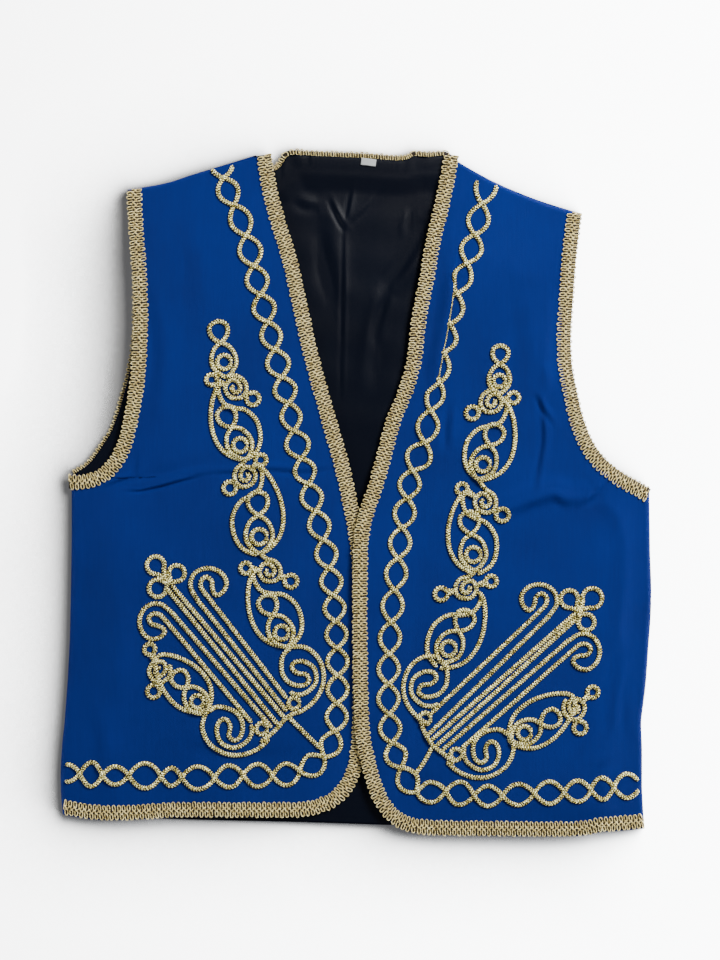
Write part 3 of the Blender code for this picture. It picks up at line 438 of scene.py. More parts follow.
# Finer places across and down the lining: share of the length, reach, cell
LINING_FINE = (((0.51, 38.0, 1.7),), ((0.17, 85.0, 2.4),))
SEAM_IN = 3.0             # the lining stops this far inside the side seams
SHELL_SEAM_IN = 1.0       # and the back's cloth this far
NECK_EDGE_IN = 5.0        # the back's edges inside the outer edges of their braids
ARM_EDGE_IN = 3.2
HEM_EDGE_IN = 2.4
SHELL_LIFT = 0.02         # the back's cloth over the ground
SHELL_LEAST = 0.5         # its least thickness where a crease thins it
SHELL_LOFT = 0.3          # how far its top may rise in a crease
SHELL_INSIDE = (24, 60)   # its creases begin this far inside the edge
SHELL_FLAT = 0.15         # a crease lower than this stays flat
SIDE_MOVE = (-14, 6)      # y where the move of the sides falls off, at the armholes
ARM_MOVE = 0.15           # to this share above
SHOULDER_MOVE = (62, 84)  # from the neck's middle to the shoulders
NECK_MIDDLE = 1.5

# Size tab: middle, half width and height, turn in degrees, foot, bow, slope, thickness
TAB_AT = (9.4, 247.7)
TAB_HALF = (5.6, 2.6)
TAB_TURN = -7
TAB_FOOT = 4.75
TAB_BOW = 0.25
TAB_BOW_W = 12
TAB_SLOPE = 0.04
TAB_T = 0.5


def smooth(points, step):
    """A Catmull-Rom curve through the points, cut into equal steps."""
    p = np.array(points, float)
    p = np.vstack([2 * p[0] - p[1], p, 2 * p[-1] - p[-2]])
    t = np.linspace(0, 1, 12, endpoint=False)[:, None]
    runs = []
    for a, b, c, d in zip(p[:-3], p[1:-2], p[2:-1], p[3:]):
        runs.append(0.5 * (2 * b + (c - a) * t + (2 * a - 5 * b + 4 * c - d) * t ** 2
                           + (3 * b - a - 3 * c + d) * t ** 3))
    line = np.vstack(runs + [p[-2:-1]])
    return resample(line, step)


def resample(line, step):
    """The same line with points at equal distances, close to the given step."""
    seg = np.linalg.norm(np.diff(line, axis=0), axis=1)
    s = np.concatenate([[0], np.cumsum(seg)])
    count = max(2, int(round(s[-1] / step)) + 1)
    at = np.linspace(0, s[-1], count)
    return np.column_stack([np.interp(at, s, line[:, 0]), np.interp(at, s, line[:, 1])])


def beside(line, distance):
    """A line at a distance to the left of an open line."""
    t = np.gradient(line, axis=0)
    t /= np.linalg.norm(t, axis=1)[:, None]
    return line + distance * np.column_stack([-t[:, 1], t[:, 0]])


def circle(centre, radius, start=0.0):
    """A ring of 24 straight steps round a centre, from the angle start."""
    a = start + np.linspace(0, 2 * math.pi, 25)
    return np.array(centre) + radius * np.column_stack([np.cos(a), np.sin(a)])


def placed(shape, start, end, side):
    """A unit shape set between two points; side -1 turns it over."""
    a = np.array(start, float)
    along = np.array(end, float) - a
    across = side * np.array([-along[1], along[0]])
    s = np.array(shape, float)
    return a + s[:, :1] * across + s[:, 1:] * along


def chain_cords(table, sizes):
    """Two cords that cross at every whole number of the table, each eye in its own width."""
    t = np.array([row[0] for row in table], float)
    p = np.array([row[1] for row in table], float)
    u = np.arange(t[0], t[-1] + 1e-6, 1 / 12)
    knots = smooth_at(t, p, u)
    d = np.gradient(knots, axis=0)
    d /= np.linalg.norm(d, axis=1)[:, None]
    n = np.column_stack([-d[:, 1], d[:, 0]])
    first = int(t[0]) - 1
    share = np.array([sizes.get(k, 1.0) for k in range(first, int(t[-1]) + 1)])
    swing = np.sin(math.pi * u)
    swing = (EYE * share[np.floor(u + 1e-6).astype(int) - first]
             * np.sign(swing) * np.abs(swing) ** EYE_ROUND)
    return [knots + n * swing[:, None], knots - n * swing[:, None]]


def smooth_at(t, p, u):
    """Cubic through p at times t, with slopes from the neighbours, read at u."""
    slope = np.gradient(p, t, axis=0)
    i = np.clip(np.searchsorted(t, u, side="right") - 1, 0, len(t) - 2)
    h = (t[i + 1] - t[i])[:, None]
    x = ((u - t[i]) / (t[i + 1] - t[i]))[:, None]
    return ((1 + 2 * x) * (1 - x) ** 2 * p[i] + x * (1 - x) ** 2 * h * slope[i]
            + x * x * (3 - 2 * x) * p[i + 1] + x * x * (x - 1) * h * slope[i + 1])


def bud_cords(loop, foot):
    """A figure eight with a ring in its lower half."""
    c = np.array(loop, float)
    length = np.linalg.norm(np.array(foot) - c)
    body = smooth(placed(BUD, loop, foot, 1), COURSE_STEP)
    ring = circle(placed([(0, BUD_RING_AT)], loop, foot, 1)[0], BUD_RING * length)
    return [body, ring]


def knot_cords(swirl, first, second, foot):
    """A scroll between two small loops, its outer end run on to the leaf above."""
    c = np.array(swirl, float)
    out = []
    for loop, radius in zip((first, second), KNOT_LOOPS):
        away = np.array(loop, float) - c
        start = math.atan2(away[1], away[0]) + math.pi
        ring = circle(loop, radius, start)
        ring[0] = ring[-1] = c + KNOT_REACH * away / np.linalg.norm(away)
        out.append(ring)
    axis = np.array(second, float) - np.array(first, float)
    sense = 1 if axis[0] > 0 else -1
    turn = math.atan2(axis[1], axis[0]) + sense * np.radians([t for t, _ in SCROLL])
    r = np.array([r for _, r in SCROLL])
    line = c + np.column_stack([r * np.cos(turn), r * np.sin(turn)])
    if foot is not None:
        line = np.vstack([line, foot])
    out.append(smooth(line, COURSE_STEP))
    return out


def column_cords(rows):
    """The cords of a column or sprig; a knot ends where the leaf or bud above it does."""
    out, foot = [], None
    for kind, *row in rows:
        if kind == "knot":
            out += knot_cords(*row, foot)
            continue
        foot = row[1]
        if kind == "bud":
            out += bud_cords(*row)
        elif kind == "leaf":
            out += [smooth(placed(shape, *row), COURSE_STEP) for shape in (LEAF_S, LEAF_ARC)]
        else:
            out += [smooth(placed(LEAF_ARC, *row, side), COURSE_STEP) for side in (1, -1)]
    return out


def fan_cords(fan):
    """Hooks, a trefoil on two strands, rings, a stem and two scrolls."""
    out = []
    for middle, outer_end, inner_end, side in fan["hooks"]:
        m = np.array(middle, float)
        away = m - (np.array(outer_end) + np.array(inner_end)) / 2
        tip = m + HOOK_UNIT * away / np.linalg.norm(away)
        hook = placed(HOOK, middle, tip, -side)
        out.append(smooth(np.vstack([[outer_end], hook, [inner_end]]), COURSE_STEP))
    for start, end in fan["strands"]:
        out.append(resample(np.array([start, end], float), COURSE_STEP))
    for centre, radius, join in fan["loops"]:
        c, j = np.array(centre, float), np.array(join, float)
        start = math.atan2(*(j - c)[::-1])
        ring = circle(c, radius, start)
        ring[0] = ring[-1] = j
        for k in (1, -2):
            ring[k] += JOIN_PULL * (j - ring[k])
        out.append(ring)
    for centre in fan["rings"]:
        out.append(circle(centre, RING_RADIUS))
    out += [smooth(fan[course], COURSE_STEP) for course in ("stem", "base")]
    for centre, size, turn, side in fan["scrolls"]:
        c = np.array(centre, float)
        a = math.radians(turn)
        for shape in (BASE_SCROLL, BASE_ARC):
            s = np.array(shape, float) * size
            x = side * (s[:, 0] * math.cos(a) - s[:, 1] * math.sin(a))
            y = -(s[:, 0] * math.sin(a) + s[:, 1] * math.cos(a))
            out.append(smooth(c + np.column_stack([x, y]), COURSE_STEP))
    return out


def step_up(x, start, end):
    """0 before start, 1 after end, a smooth S between."""
    t = np.clip((x - start) / (end - start), 0, 1)
    return t * t * (3 - 2 * t)


def window(x, rise, fall):
    """0, then 1 between the two smooth steps, then 0 again."""
    return step_up(x, *rise) * (1 - step_up(x, *fall))


def nearest(line, x, y):
    """For each point: distance to a line of straight steps, side (left +), how far along."""
    p = np.column_stack([np.ravel(x), np.ravel(y)])
    a, b = line[:-1], line[1:]
    run = np.concatenate([[0], np.cumsum(np.linalg.norm(b - a, axis=1))])
    best = np.full(len(p), 1e9)
    side = np.ones(len(p))
    along = np.zeros(len(p))
    for k, (start, end) in enumerate(zip(a, b)):
        d = end - start
        t = np.clip((p - start) @ d / max(d @ d, 1e-9), 0, 1)
        off = p - start - t[:, None] * d
        far = np.hypot(off[:, 0], off[:, 1])
        near = far < best
        best = np.where(near, far, best)
        side = np.where(near, np.sign(d[0] * off[:, 1] - d[1] * off[:, 0] + 1e-12), side)
        along = np.where(near, (run[k] + t * (run[k + 1] - run[k])) / run[-1], along)
    shape = np.shape(x)
    return best.reshape(shape), side.reshape(shape), along.reshape(shape)


def wobble(x, y, size, seed):
    """Uneven ground: the mean of six sine waves of about this size, in turned directions."""
    rng = np.random.default_rng(seed)
    total = 0.0
    for angle, phase, stretch in rng.uniform([0, 0, 0.7], [math.pi, 6.3, 1.5], (6, 3)):
        reach = (np.asarray(x) * math.cos(angle) + np.asarray(y) * math.sin(angle)) / stretch
        total = total + np.sin(2 * math.pi * reach / size + phase)
    return total / 6


def folds(table, x, y):
    """Sum of long soft ridges, each a bell across its line."""
    total = 0.0
    for start, end, width, height in table:
        off = nearest(np.array([start, end], float), x, y)[0]
        total = total + height * np.exp(-(off / width) ** 2)
    return total


def creases(table, x, y):
    """Sum of creases: a bell along each curved line, and a softer one beside it.

    Each fades towards its ends as a half sine of how far along it the point is.
    """
    total = 0.0
    for points, width, height, beside_it in table:
        line = smooth(points, 4.0)
        off, side, along = nearest(line, x, y)
        off = off * side
        fade = np.sin(math.pi * np.clip(along, 0.02, 0.98)) ** 0.7
        near = np.exp(-(off / width) ** 2)
        next_to = np.exp(-((off - SOFT_BESIDE * width) / (SOFT_WIDTH * width)) ** 2)
        total = total + fade * (height * near + beside_it * next_to)
    return total


# Surfaces of the cloth

def seam_fade(x, y, side_x, shoulder):
    """0 at the side and shoulder seams, 1 inside the panel."""
    from_shoulder = nearest(np.array(shoulder, float), x, y)[0]
    return step_up(np.abs(side_x - x), *SIDE_FADE) * step_up(from_shoulder, *SHOULDER_FADE)


def seam_roll(x, y, *seams):
    """How far the cloth turns down at its seams: a quarter of an ellipse, ROLL_W wide."""
    off = np.min([nearest(np.array(s, float), x, y)[0] for s in seams], axis=0)
    t = np.clip(1 - off / ROLL_W, 0, 1)
    return ROLL_H * (1 - np.sqrt(1 - t * t))


def loft(x, y, side_x, centre_x, seed):
    """Half a sine wave from the side to the centre, on uneven ground."""
    across = np.clip((x - side_x) / (centre_x - side_x), 0, 1)
    size, height = UNEVEN
    return PUFF * np.sin(math.pi * across) + height * wobble(x, y, size, seed)


def right_foot(x, y):
    """Underside of the wearer's right front: its loft, folds and creases, and its seams."""
    high = loft(x, y, RIGHT_SIDE_X, RIGHT_LOFT_X, 3) + RIGHT_DEPTH * creases(RIGHT_CREASES, x, y)
    high = high + folds(RIGHT_FOLDS, x, y) * (1 - step_up(x, *RIGHT_FOLDS_END))
    soft = seam_fade(x, y, RIGHT_SIDE_X, RIGHT_SHOULDER)
    return FRONT_Z + soft * high - seam_roll(x, y, RIGHT_SIDE, RIGHT_SHOULDER)


def left_foot(x, y):
    """Underside of the wearer's left front: the same, its pleat, and its lap at the centre."""
    high = loft(x, y, LEFT_SIDE_X, LEFT_LOFT_X, 5) + LEFT_DEPTH * creases(LEFT_CREASES, x, y)
    high = high + folds(LEFT_FOLDS, x, y) + pleat(x, y)
    soft = seam_fade(x, y, LEFT_SIDE_X, LEFT_SHOULDER)
    over = CROSS_LIFT * (1 - step_up(x, *CROSS_X)) * (1 - step_up(y, *CROSS_Y))
    return FRONT_Z + over + soft * high - seam_roll(x, y, LEFT_SIDE, LEFT_SHOULDER)


def pleat(x, y):
    """A raised band that ends in a steep step along PLEAT, on its neck side."""
    off, side, _ = nearest(smooth(PLEAT, 3.0), x, y)
    off = off * side
    band = (1 - step_up(-off, *PLEAT_BACK)) * (1 - step_up(off, *PLEAT_STEP))
    return PLEAT_H * band * window(y, PLEAT_FOOT, PLEAT_TOP)


def back_lift(x, y):
    """The back lies flat, and its rim is lifted by the braid below it."""
    off = nearest(np.vstack([back_edge, back_edge[:1]]), x, y)[0]
    return BAND_LIFT * (1 - np.clip((off - LIFT_FLAT) / (LIFT_END - LIFT_FLAT), 0, 1))


def lining_foot(x, y):
    """Underside of the lining: it lies on the back and rises in folds inside the neck."""
    half_width = np.abs(x - NECK_X) - NECK_WIDEN * (y - NECK_FOOT[0])
    open_neck = window(y, NECK_FOOT, NECK_TOP) * (1 - step_up(half_width, *NECK_HALF))
    size, height = LINING_UNEVEN
    high = creases(LINING_CREASES, x, y) + height * (1 + wobble(x, y, size, 9))
    return LINING_Z + back_lift(x, y) + np.maximum(open_neck * high, 0) + gathers(x, y)


def gathers(x, y):
    """Small puckers where the lining is sewn below the neck braid: uneven sine waves."""
    from_edge = nearest(smooth(BACK_NECK, 4.0), x, y)[0]
    place = window(from_edge, GATHER_IN, GATHER_OUT) * window(x, GATHER_LEFT, GATHER_RIGHT)
    shift, spread_over = GATHER_UNEVEN
    wave = np.sin(2 * math.pi * x / GATHER_PITCH + shift * np.sin(x / spread_over))
    return GATHER_H * place * (1 + wave)


def right_top(x, y):
    """The right front's upper face, where its braid and cords lie."""
    return right_foot(x, y) + FRONT_T


def left_top(x, y):
    """The left front's upper face."""
    return left_foot(x, y) + FRONT_T


# Meshes

def make(name, parts, looks):
    """One object from parts of (corners, quads, map, look number), in millimetres."""
    co = np.vstack([part[0] for part in parts])
    starts = np.cumsum([0] + [len(part[0]) for part in parts])
    quads = np.vstack([part[1] + start for part, start in zip(parts, starts)])
    flat = np.vstack([part[2] for part in parts])
    which = np.concatenate([np.full(len(part[1]), part[3]) for part in parts])
    mesh = bpy.data.meshes.new(name)
    mesh.vertices.add(len(co))
    mesh.vertices.foreach_set("co", ((co + SHIFT) * MM).ravel())
    mesh.loops.add(quads.size)
    mesh.loops.foreach_set("vertex_index", quads.ravel())
    mesh.polygons.add(len(quads))
    mesh.polygons.foreach_set("loop_start", np.arange(0, quads.size, 4))
    mesh.polygons.foreach_set("material_index", which)
    mesh.polygons.foreach_set("use_smooth", np.ones(len(quads), bool))
    mesh.uv_layers.new(name="Along")
    mesh.uv_layers["Along"].data.foreach_set("uv", flat[quads.ravel()].ravel())
    mesh.update(calc_edges=True)
    for look in looks:
        mesh.materials.append(look)
    obj = bpy.data.objects.new(name, mesh)
    bpy.context.scene.collection.objects.link(obj)
    return obj


def net_quads(rows, cols, start=0):
    """Quads of a grid of corners, row by row."""
    corner = start + np.arange(rows * cols).reshape(rows, cols)
    return np.stack([corner[:-1, :-1], corner[:-1, 1:], corner[1:, 1:], corner[1:, :-1]],
                    axis=-1).reshape(-1, 4)


def shell(x, y, low, high):
    """A closed wall between two heights over a grid of places."""
    rows, cols = x.shape
    count = rows * cols
    co = np.vstack([np.column_stack([x.ravel(), y.ravel(), np.ravel(z)]) for z in (high, low)])
    top = net_quads(rows, cols)
    foot = net_quads(rows, cols, count)[:, ::-1]
    corner = np.arange(count).reshape(rows, cols)
    rim = np.concatenate([corner[0, :-1], corner[:-1, -1], corner[-1, :0:-1], corner[:0:-1, 0]])
    ahead = np.roll(rim, -1)
    wall = np.stack([ahead, rim, rim + count, ahead + count], axis=-1)
    quads = np.vstack([top, foot, wall])
    a, b, c = co[top[0, 0]], co[top[0, 1]], co[top[0, 3]]
    if np.cross(b - a, c - a)[2] < 0:
        quads = quads[:, ::-1]
    return co, quads, co[:, :2] * MM, 0


def tube(line, wide, high, sides, look=0):
    """A closed tube along a line: an ellipse of half width wide and half height high.

    wide and high are numbers or arrays of (points, sides); the ellipse stands across
    the line's course in plan.
    """
    run = np.gradient(line[:, :2], axis=0)
    run /= np.maximum(np.linalg.norm(run, axis=1), 1e-9)[:, None]
    across = np.column_stack([-run[:, 1], run[:, 0], np.zeros(len(line))])
    turn = 2 * math.pi * np.arange(sides) / sides
    c, s = wide * np.cos(turn)[None, :], high * np.sin(turn)[None, :]
    c, s = np.broadcast_to(c, (len(line), sides)), np.broadcast_to(s, (len(line), sides))
    co = line[:, None, :] + across[:, None, :] * c[..., None]
    co = co + np.array([0.0, 0.0, 1.0]) * s[..., None]
    step = np.linalg.norm(np.diff(line, axis=0), axis=1)
    along = np.concatenate([[0], np.cumsum(step)])
    flat = np.stack(np.broadcast_arrays(turn[None, :] / (2 * math.pi),
                                        along[:, None] * MM), axis=-1).reshape(-1, 2)
    corner = np.arange(len(line) * sides).reshape(len(line), sides)
    ahead = np.roll(corner, -1, axis=1)
    skin = np.stack([corner[:-1], ahead[:-1], ahead[1:], corner[1:]], axis=-1).reshape(-1, 4)
    half = np.arange(sides // 2 - 1)
    cap = np.stack([half, half + 1, sides - 2 - half, sides - 1 - half], axis=-1)
    quads = np.vstack([skin, cap[:, ::-1], cap + corner[-1, 0]])
    return co.reshape(-1, 3), quads, flat, look


def graded(length, cell, fine=()):
    """Places from 0 to 1 along a length, closer where fine asks: middle, reach, cell."""
    at = [0.0]
    while at[-1] < length:
        step = cell
        for middle, reach, small in fine:
            away = abs(at[-1] - middle * length) - reach
            step = min(step, small + 0.3 * max(0.0, away))
        at.append(at[-1] + step)
    return np.array(at) / at[-1]


def spread(line, at):
    """Points of a line at these shares of its length."""
    step = np.linalg.norm(np.diff(line, axis=0), axis=1)
    s = np.concatenate([[0], np.cumsum(step)])
    s /= s[-1]
    return np.column_stack([np.interp(at, s, line[:, 0]), np.interp(at, s, line[:, 1])])


def patch(first, last, inner, outer, u, v):
    """Grid between four edges: the blend of opposite edges, less the blend of corners.

    first and last run with u, at v = 0 and 1; inner and outer run with v.
    """
    a, b = spread(first, u)[None, :, :], spread(last, u)[None, :, :]
    c, d = spread(inner, v)[:, None, :], spread(outer, v)[:, None, :]
    uu, vv = u[None, :, None], v[:, None, None]
    corners = ((1 - vv) * ((1 - uu) * a[:, :1] + uu * a[:, -1:])
               + vv * ((1 - uu) * b[:, :1] + uu * b[:, -1:]))
    grid = (1 - vv) * a + vv * b + (1 - uu) * c + uu * d - corners
    return grid[..., 0], grid[..., 1]


def at_once(*lines):
    """Lines joined end to end, without double points."""
    joined = np.vstack(lines)
    keep = np.r_[True, np.linalg.norm(np.diff(joined, axis=0), axis=1) > 0.05]
    return joined[keep]


def strands(lines, wide, high, sides, closed):
    """Many threads of one kind: lines holds (thread, point, 3); closed ones are rings."""
    if closed:
        run = np.roll(lines, -1, axis=1) - np.roll(lines, 1, axis=1)
    else:
        run = np.gradient(lines, axis=1)
    run = run[..., :2] / np.linalg.norm(run[..., :2], axis=-1, keepdims=True)
    across = np.stack([-run[..., 1], run[..., 0], 0 * run[..., 0]], axis=-1)
    turn = 2 * math.pi * np.arange(sides) / sides
    co = (lines[:, :, None] + across[:, :, None] * (wide * np.cos(turn))[:, None]
          + np.array([0.0, 0.0, 1.0]) * (high * np.sin(turn))[:, None])
    threads, points = lines.shape[:2]
    corner = np.arange(co.size // 3).reshape(threads, points, sides)
    ahead = np.roll(corner, -1, axis=2)
    skin = np.stack([corner, ahead, np.roll(ahead, -1, axis=1), np.roll(corner, -1, axis=1)],
                    axis=-1)
    quads = [(skin if closed else skin[:, :-1]).reshape(-1, 4)]
    if not closed:
        half = np.arange(sides // 2 - 1)
        cap = np.stack([half, half + 1, sides - 2 - half, sides - 1 - half], axis=-1)
        first, last = corner[:, 0, 0], corner[:, -1, 0]
        quads.append((first[:, None, None] + cap[:, ::-1]).reshape(-1, 4))
        quads.append((last[:, None, None] + cap).reshape(-1, 4))
    step = np.linalg.norm(np.diff(lines, axis=1), axis=-1)
    along = np.concatenate([np.zeros((threads, 1)), np.cumsum(step, axis=1)], axis=1)
    flat = np.stack(np.broadcast_arrays(turn / (2 * math.pi), along[..., None] * MM), axis=-1)
    return co.reshape(-1, 3), np.vstack(quads), flat.reshape(-1, 2), 0


def gimp(line, surface, curl=0.0, points=13):
    """Looped gimp braid along a line, on a surface.

    A row of long rings lies on each side of the middle, those of one side half a pitch
    on, and two slanting threads a pitch tie them across the middle, above a dark strip:
    the braid's ground, so dark that it stands as painted shade in the gaps between threads.
    Each ring is an ellipse with squarer corners: across it is the cosine and along it the
    sine of the turn, each to the power LOOP_SQUARE with its sign kept, sheared by its lean.
    """
    s = np.concatenate([[0], np.cumsum(np.linalg.norm(np.diff(line, axis=0), axis=1))])
    run = np.gradient(line, axis=0)
    run /= np.linalg.norm(run, axis=1)[:, None]
    side = np.column_stack([-run[:, 1], run[:, 0]])
    count = int(round(s[-1] / LOOP_PITCH))
    pitch = s[-1] / count
    rng = np.random.default_rng(count)

    def at(where, off, rise):
        """Places on the surface: so far along the braid, off its middle, and above."""
        where = np.clip(where, BRAID_END, s[-1] - BRAID_END)
        x, y, nx, ny = (np.interp(where, s, c) for c in (*line.T, *side.T))
        px, py = x + off * nx, y + off * ny
        lift = curl * np.clip(off - 1.0, 0, 6)
        return np.stack([px, py, surface(px, py) + rise + lift], axis=-1)

    t = 2 * math.pi * np.arange(points) / points
    out, along = (np.sign(w) * np.abs(w) ** LOOP_SQUARE for w in (np.cos(t), np.sin(t)))
    parts = []
    for way, first in ((1, 0.25), (-1, 0.75)):
        number = np.arange(count)[:, None]
        reach = LOOP_REACH * rng.uniform(*LOOP_VARY, (count, 1))
        lean = rng.normal(-LOOP_LEAN * way, LEAN_VARY, (count, 1))
        middle = pitch * (number + first) + rng.normal(0, PLACE_VARY, (count, 1))
        off = way * LOOP_MIDDLE + way * (reach - LOOP_REACH) + way * reach * out
        where = middle + LOOP_HALF * along + lean * reach * out
        rise = LOOP_LIFT + LOOP_TILT * out + rng.uniform(-LIFT_VARY, LIFT_VARY, (count, 1))
        parts.append(strands(at(where, off, rise), THREAD_HALF, THREAD_RISE,
                             THREAD_SIDES, True))
        tie = np.linspace(-1, 1, 6)[None, :]
        off = -TIE_REACH * tie * way
        where = pitch * (number + first + 0.25) + (0.25 * pitch + TIE_LAP) * tie
        rise = TIE_LIFT + TIE_ARCH[way] * (1 - tie * tie) + 0 * where
        parts.append(strands(at(where, off + 0 * where, rise), TIE_HALF, TIE_RISE, 4, False))
    steps = np.arange(BRAID_END, s[-1] - BRAID_END, 2.0)
    # the dark strip: the braid's ground, near black as painted shade in the gaps
    parts.append(tube(at(steps, 0.0 * steps, STRIP_LIFT), STRIP_HALF, STRIP_RISE, 6, 1))
    return parts


def humps(strokes, laid):
    """How much each point of each stroke is raised where it passes over an earlier one.

    laid holds the strokes that are already down; these are added to it.
    """
    out = []
    for stroke in strokes:
        rise = np.zeros(len(stroke))
        low, high = stroke.min(axis=0) - 4, stroke.max(axis=0) + 4
        olds = np.vstack(laid) if laid else np.zeros((0, 2))
        olds = olds[np.all((olds > low) & (olds < high), axis=1)]
        if len(olds):
            gap = np.hypot(stroke[:, None, 0] - olds[None, :, 0],
                           stroke[:, None, 1] - olds[None, :, 1]).min(axis=1)
            rise = 1 - step_up(gap, *HUMP_OTHER)
        own = np.hypot(stroke[:, None, 0] - stroke[None, :, 0],
                       stroke[:, None, 1] - stroke[None, :, 1])
        number = np.arange(len(stroke))
        apart = number[:, None] - number[None, :] > int(CORD_LEAD / CORD_STEP)
        own = np.where(apart, own, 99).min(axis=1)
        rise = np.maximum(rise, 1 - step_up(own, *HUMP_OWN))
        rise = np.convolve(np.pad(rise, 3, mode="edge"), np.ones(7) / 7, mode="valid")
        out.append(CORD_HUMP * rise)
        laid.append(stroke)
    return out


def cordwork(strokes, laid, surface, squeeze=None):
    """Round knitted cords laid on a surface, each with beads along its edges."""
    paths = [resample(np.asarray(stroke), CORD_STEP) for stroke in strokes]
    parts = []
    for path, hump in zip(paths, humps(paths, laid)):
        slim = np.ones(len(path))
        if squeeze is not None:
            path, slim = squeeze(path)
        ends = np.minimum(np.arange(len(path)), np.arange(len(path))[::-1]) * CORD_STEP
        slim = slim * (END_SLIM + (1 - END_SLIM) * step_up(ends, 0, END_REACH))
        along = np.arange(len(path)) * CORD_STEP
        turn = 2 * math.pi * np.arange(CORD_SIDES) / CORD_SIDES
        bead = 2 * math.pi * along[:, None] / BEAD + np.where(np.cos(turn) > 0, 0, math.pi)
        wide = slim[:, None] * CORD_HALF * (1 + BEAD_WIDE * np.cos(bead))
        high = slim[:, None] ** 0.5 * CORD_RISE * (1 + BEAD_HIGH * np.cos(bead + 2 * turn))
        z = surface(path[:, 0], path[:, 1]) + CORD_RISE - CORD_SINK + hump
        parts.append(tube(np.column_stack([path, z]), wide, high, CORD_SIDES))
    return parts


def grid_area(x, y):
    """Area of a grid of places, in square metres."""
    a = np.abs((x[1:, 1:] - x[:-1, :-1]) * (y[1:, :-1] - y[:-1, 1:])
               - (x[1:, :-1] - x[:-1, 1:]) * (y[1:, 1:] - y[:-1, :-1]))
    return float(a.sum()) / 2 * MM * MM


# Materials

class Value:
    """A shader socket that can be added, subtracted, multiplied and divided."""

    def __init__(self, finish, socket):
        self.finish = finish
        self.socket = socket

    def math(self, operation, *others):
        inputs = {k: v for k, v in enumerate([self, *others])}
        return self.finish.node("ShaderNodeMath", {"operation": operation}, inputs)

    def __add__(self, other):
        return self.math("ADD", other)

    def __sub__(self, other):
        return self.math("SUBTRACT", other)

    def __mul__(self, other):
        return self.math("MULTIPLY", other)

    def __rsub__(self, other):
        return (self * -1.0) + other

    __radd__ = __add__
    __rmul__ = __mul__

    def __truediv__(self, other):
        return self.math("DIVIDE", other)

    def size(self):
        """The value without its sign."""
        return self.math("ABSOLUTE")

    def wave(self, length):
        """The sine of a wave of this length."""
        return (self * (2 * math.pi / length)).math("SINE")

    def ramp(self, low, high):
        """0 at low, 1 at high, held at both ends."""
        return self.finish.node("ShaderNodeMapRange", {"clamp": True},
                                {0: self, 1: low, 2: high, 3: 0.0, 4: 1.0})


class Finish:
    """A material under construction; fixed values go on the shader's own sockets."""

    def __init__(self, name, **fixed):
        self.material = bpy.data.materials.new(name)
        self.material.use_nodes = True
        self.tree = self.material.node_tree
        self.shader = self.tree.nodes["Principled BSDF"]
        for socket, value in fixed.items():
            self.shader.inputs[socket.replace("_", " ")].default_value = value

    def node(self, kind, settings, inputs, output=0):
        """A node of a kind, its settings, then the values or links of its sockets."""
        node = self.tree.nodes.new(kind)
        for key, value in settings.items():
            if key == "stops":
                stops = node.color_ramp.elements
                while len(stops) < len(value):
                    stops.new(0.5)
                for stop, (place, color) in zip(stops, value):
                    stop.position = place
                    stop.color = (*color, 1.0)
            else:
                setattr(node, key, value)
        for key, value in inputs.items():
            if isinstance(value, Value):
                self.tree.links.new(value.socket, node.inputs[key])
            elif isinstance(value, tuple) and len(value) == 3 \
                    and len(node.inputs[key].default_value) == 4:
                node.inputs[key].default_value = (*value, 1.0)
            else:
                node.inputs[key].default_value = value
        return Value(self, node.outputs[output])

    def place(self):
        """Where a point is on the object, in metres."""
        return self.node("ShaderNodeTexCoord", {}, {}, output="Object")

    def along(self):
        """Round and along a thread: a share of a turn, and metres."""
        return self.node("ShaderNodeUVMap", {"uv_map": "Along"}, {})

    def part(self, vector, axis):
        """One of the three numbers of a vector or colour."""
        return self.node("ShaderNodeSeparateXYZ", {}, {0: vector}, output=axis)

    def stretched(self, vector, scale):
        return self.node("ShaderNodeMapping", {}, {"Vector": vector, "Scale": scale})

    def noise(self, vector, scale, detail=3.0):
        return self.node("ShaderNodeTexNoise", {},
                         {"Vector": vector, "Scale": scale, "Detail": detail})

    def cells(self, vector, scale):
        """A colour for each cell of a net of random points."""
        return self.node("ShaderNodeTexVoronoi", {"feature": "F1"},
                         {"Vector": vector, "Scale": scale}, output="Color")

    def blend(self, factor, first, second):
        """From the first colour at 0 to the second at 1."""
        return self.node("ShaderNodeMix", {"data_type": "RGBA"},
                         {0: factor, 6: first, 7: second}, output=2)

    def colors(self, factor, *stops):
        """A ramp through several colours."""
        return self.node("ShaderNodeValToRGB", {"stops": stops}, {0: factor})

    def vector(self, operation, *inputs):
        return self.node("ShaderNodeVectorMath", {"operation": operation},
                         dict(enumerate(inputs)))

    def outward(self):
        """The way the surface faces."""
        return self.node("ShaderNodeNewGeometry", {}, {}, output="Normal")

    def bump(self, height, distance, **base):
        """The way the surface faces with a small relief on it."""
        return self.node("ShaderNodeBump", {},
                         {"Height": height, "Distance": distance, **base})

    def feed(self, **sockets):
        """Link values to the shader; the finished material."""
        for socket, value in sockets.items():
            self.tree.links.new(value.socket, self.shader.inputs[socket.replace("_", " ")])
        return self.material


def cloth_finish():
    """Smooth blue costume cloth: a fine twill, slightly uneven dye, a soft sheen."""
    f = Finish("blue_cloth", Specular_IOR_Level=0.06)
    here = f.place()
    x, y = f.part(here, 0), f.part(here, 1)
    twill = (x + y).wave(TWILL_PITCH)
    threads = (x - y * 0.35).wave(THREAD_PITCH)
    dye = f.noise(here, 14.0, 4.0)
    slub = f.noise(f.stretched(here, (900.0, 60.0, 60.0)), 1.0, 2.0)
    tone = dye * 0.6 + slub * 0.25 + twill * 0.03
    color = f.blend(tone.ramp(0.25, 0.65), CLOTH_DARK, CLOTH_LIGHT)
    return f.feed(Base_Color=color, Normal=f.bump(twill + threads * 0.6 + slub * 1.5, 0.00006),
                  Roughness=0.46 + dye * 0.12)


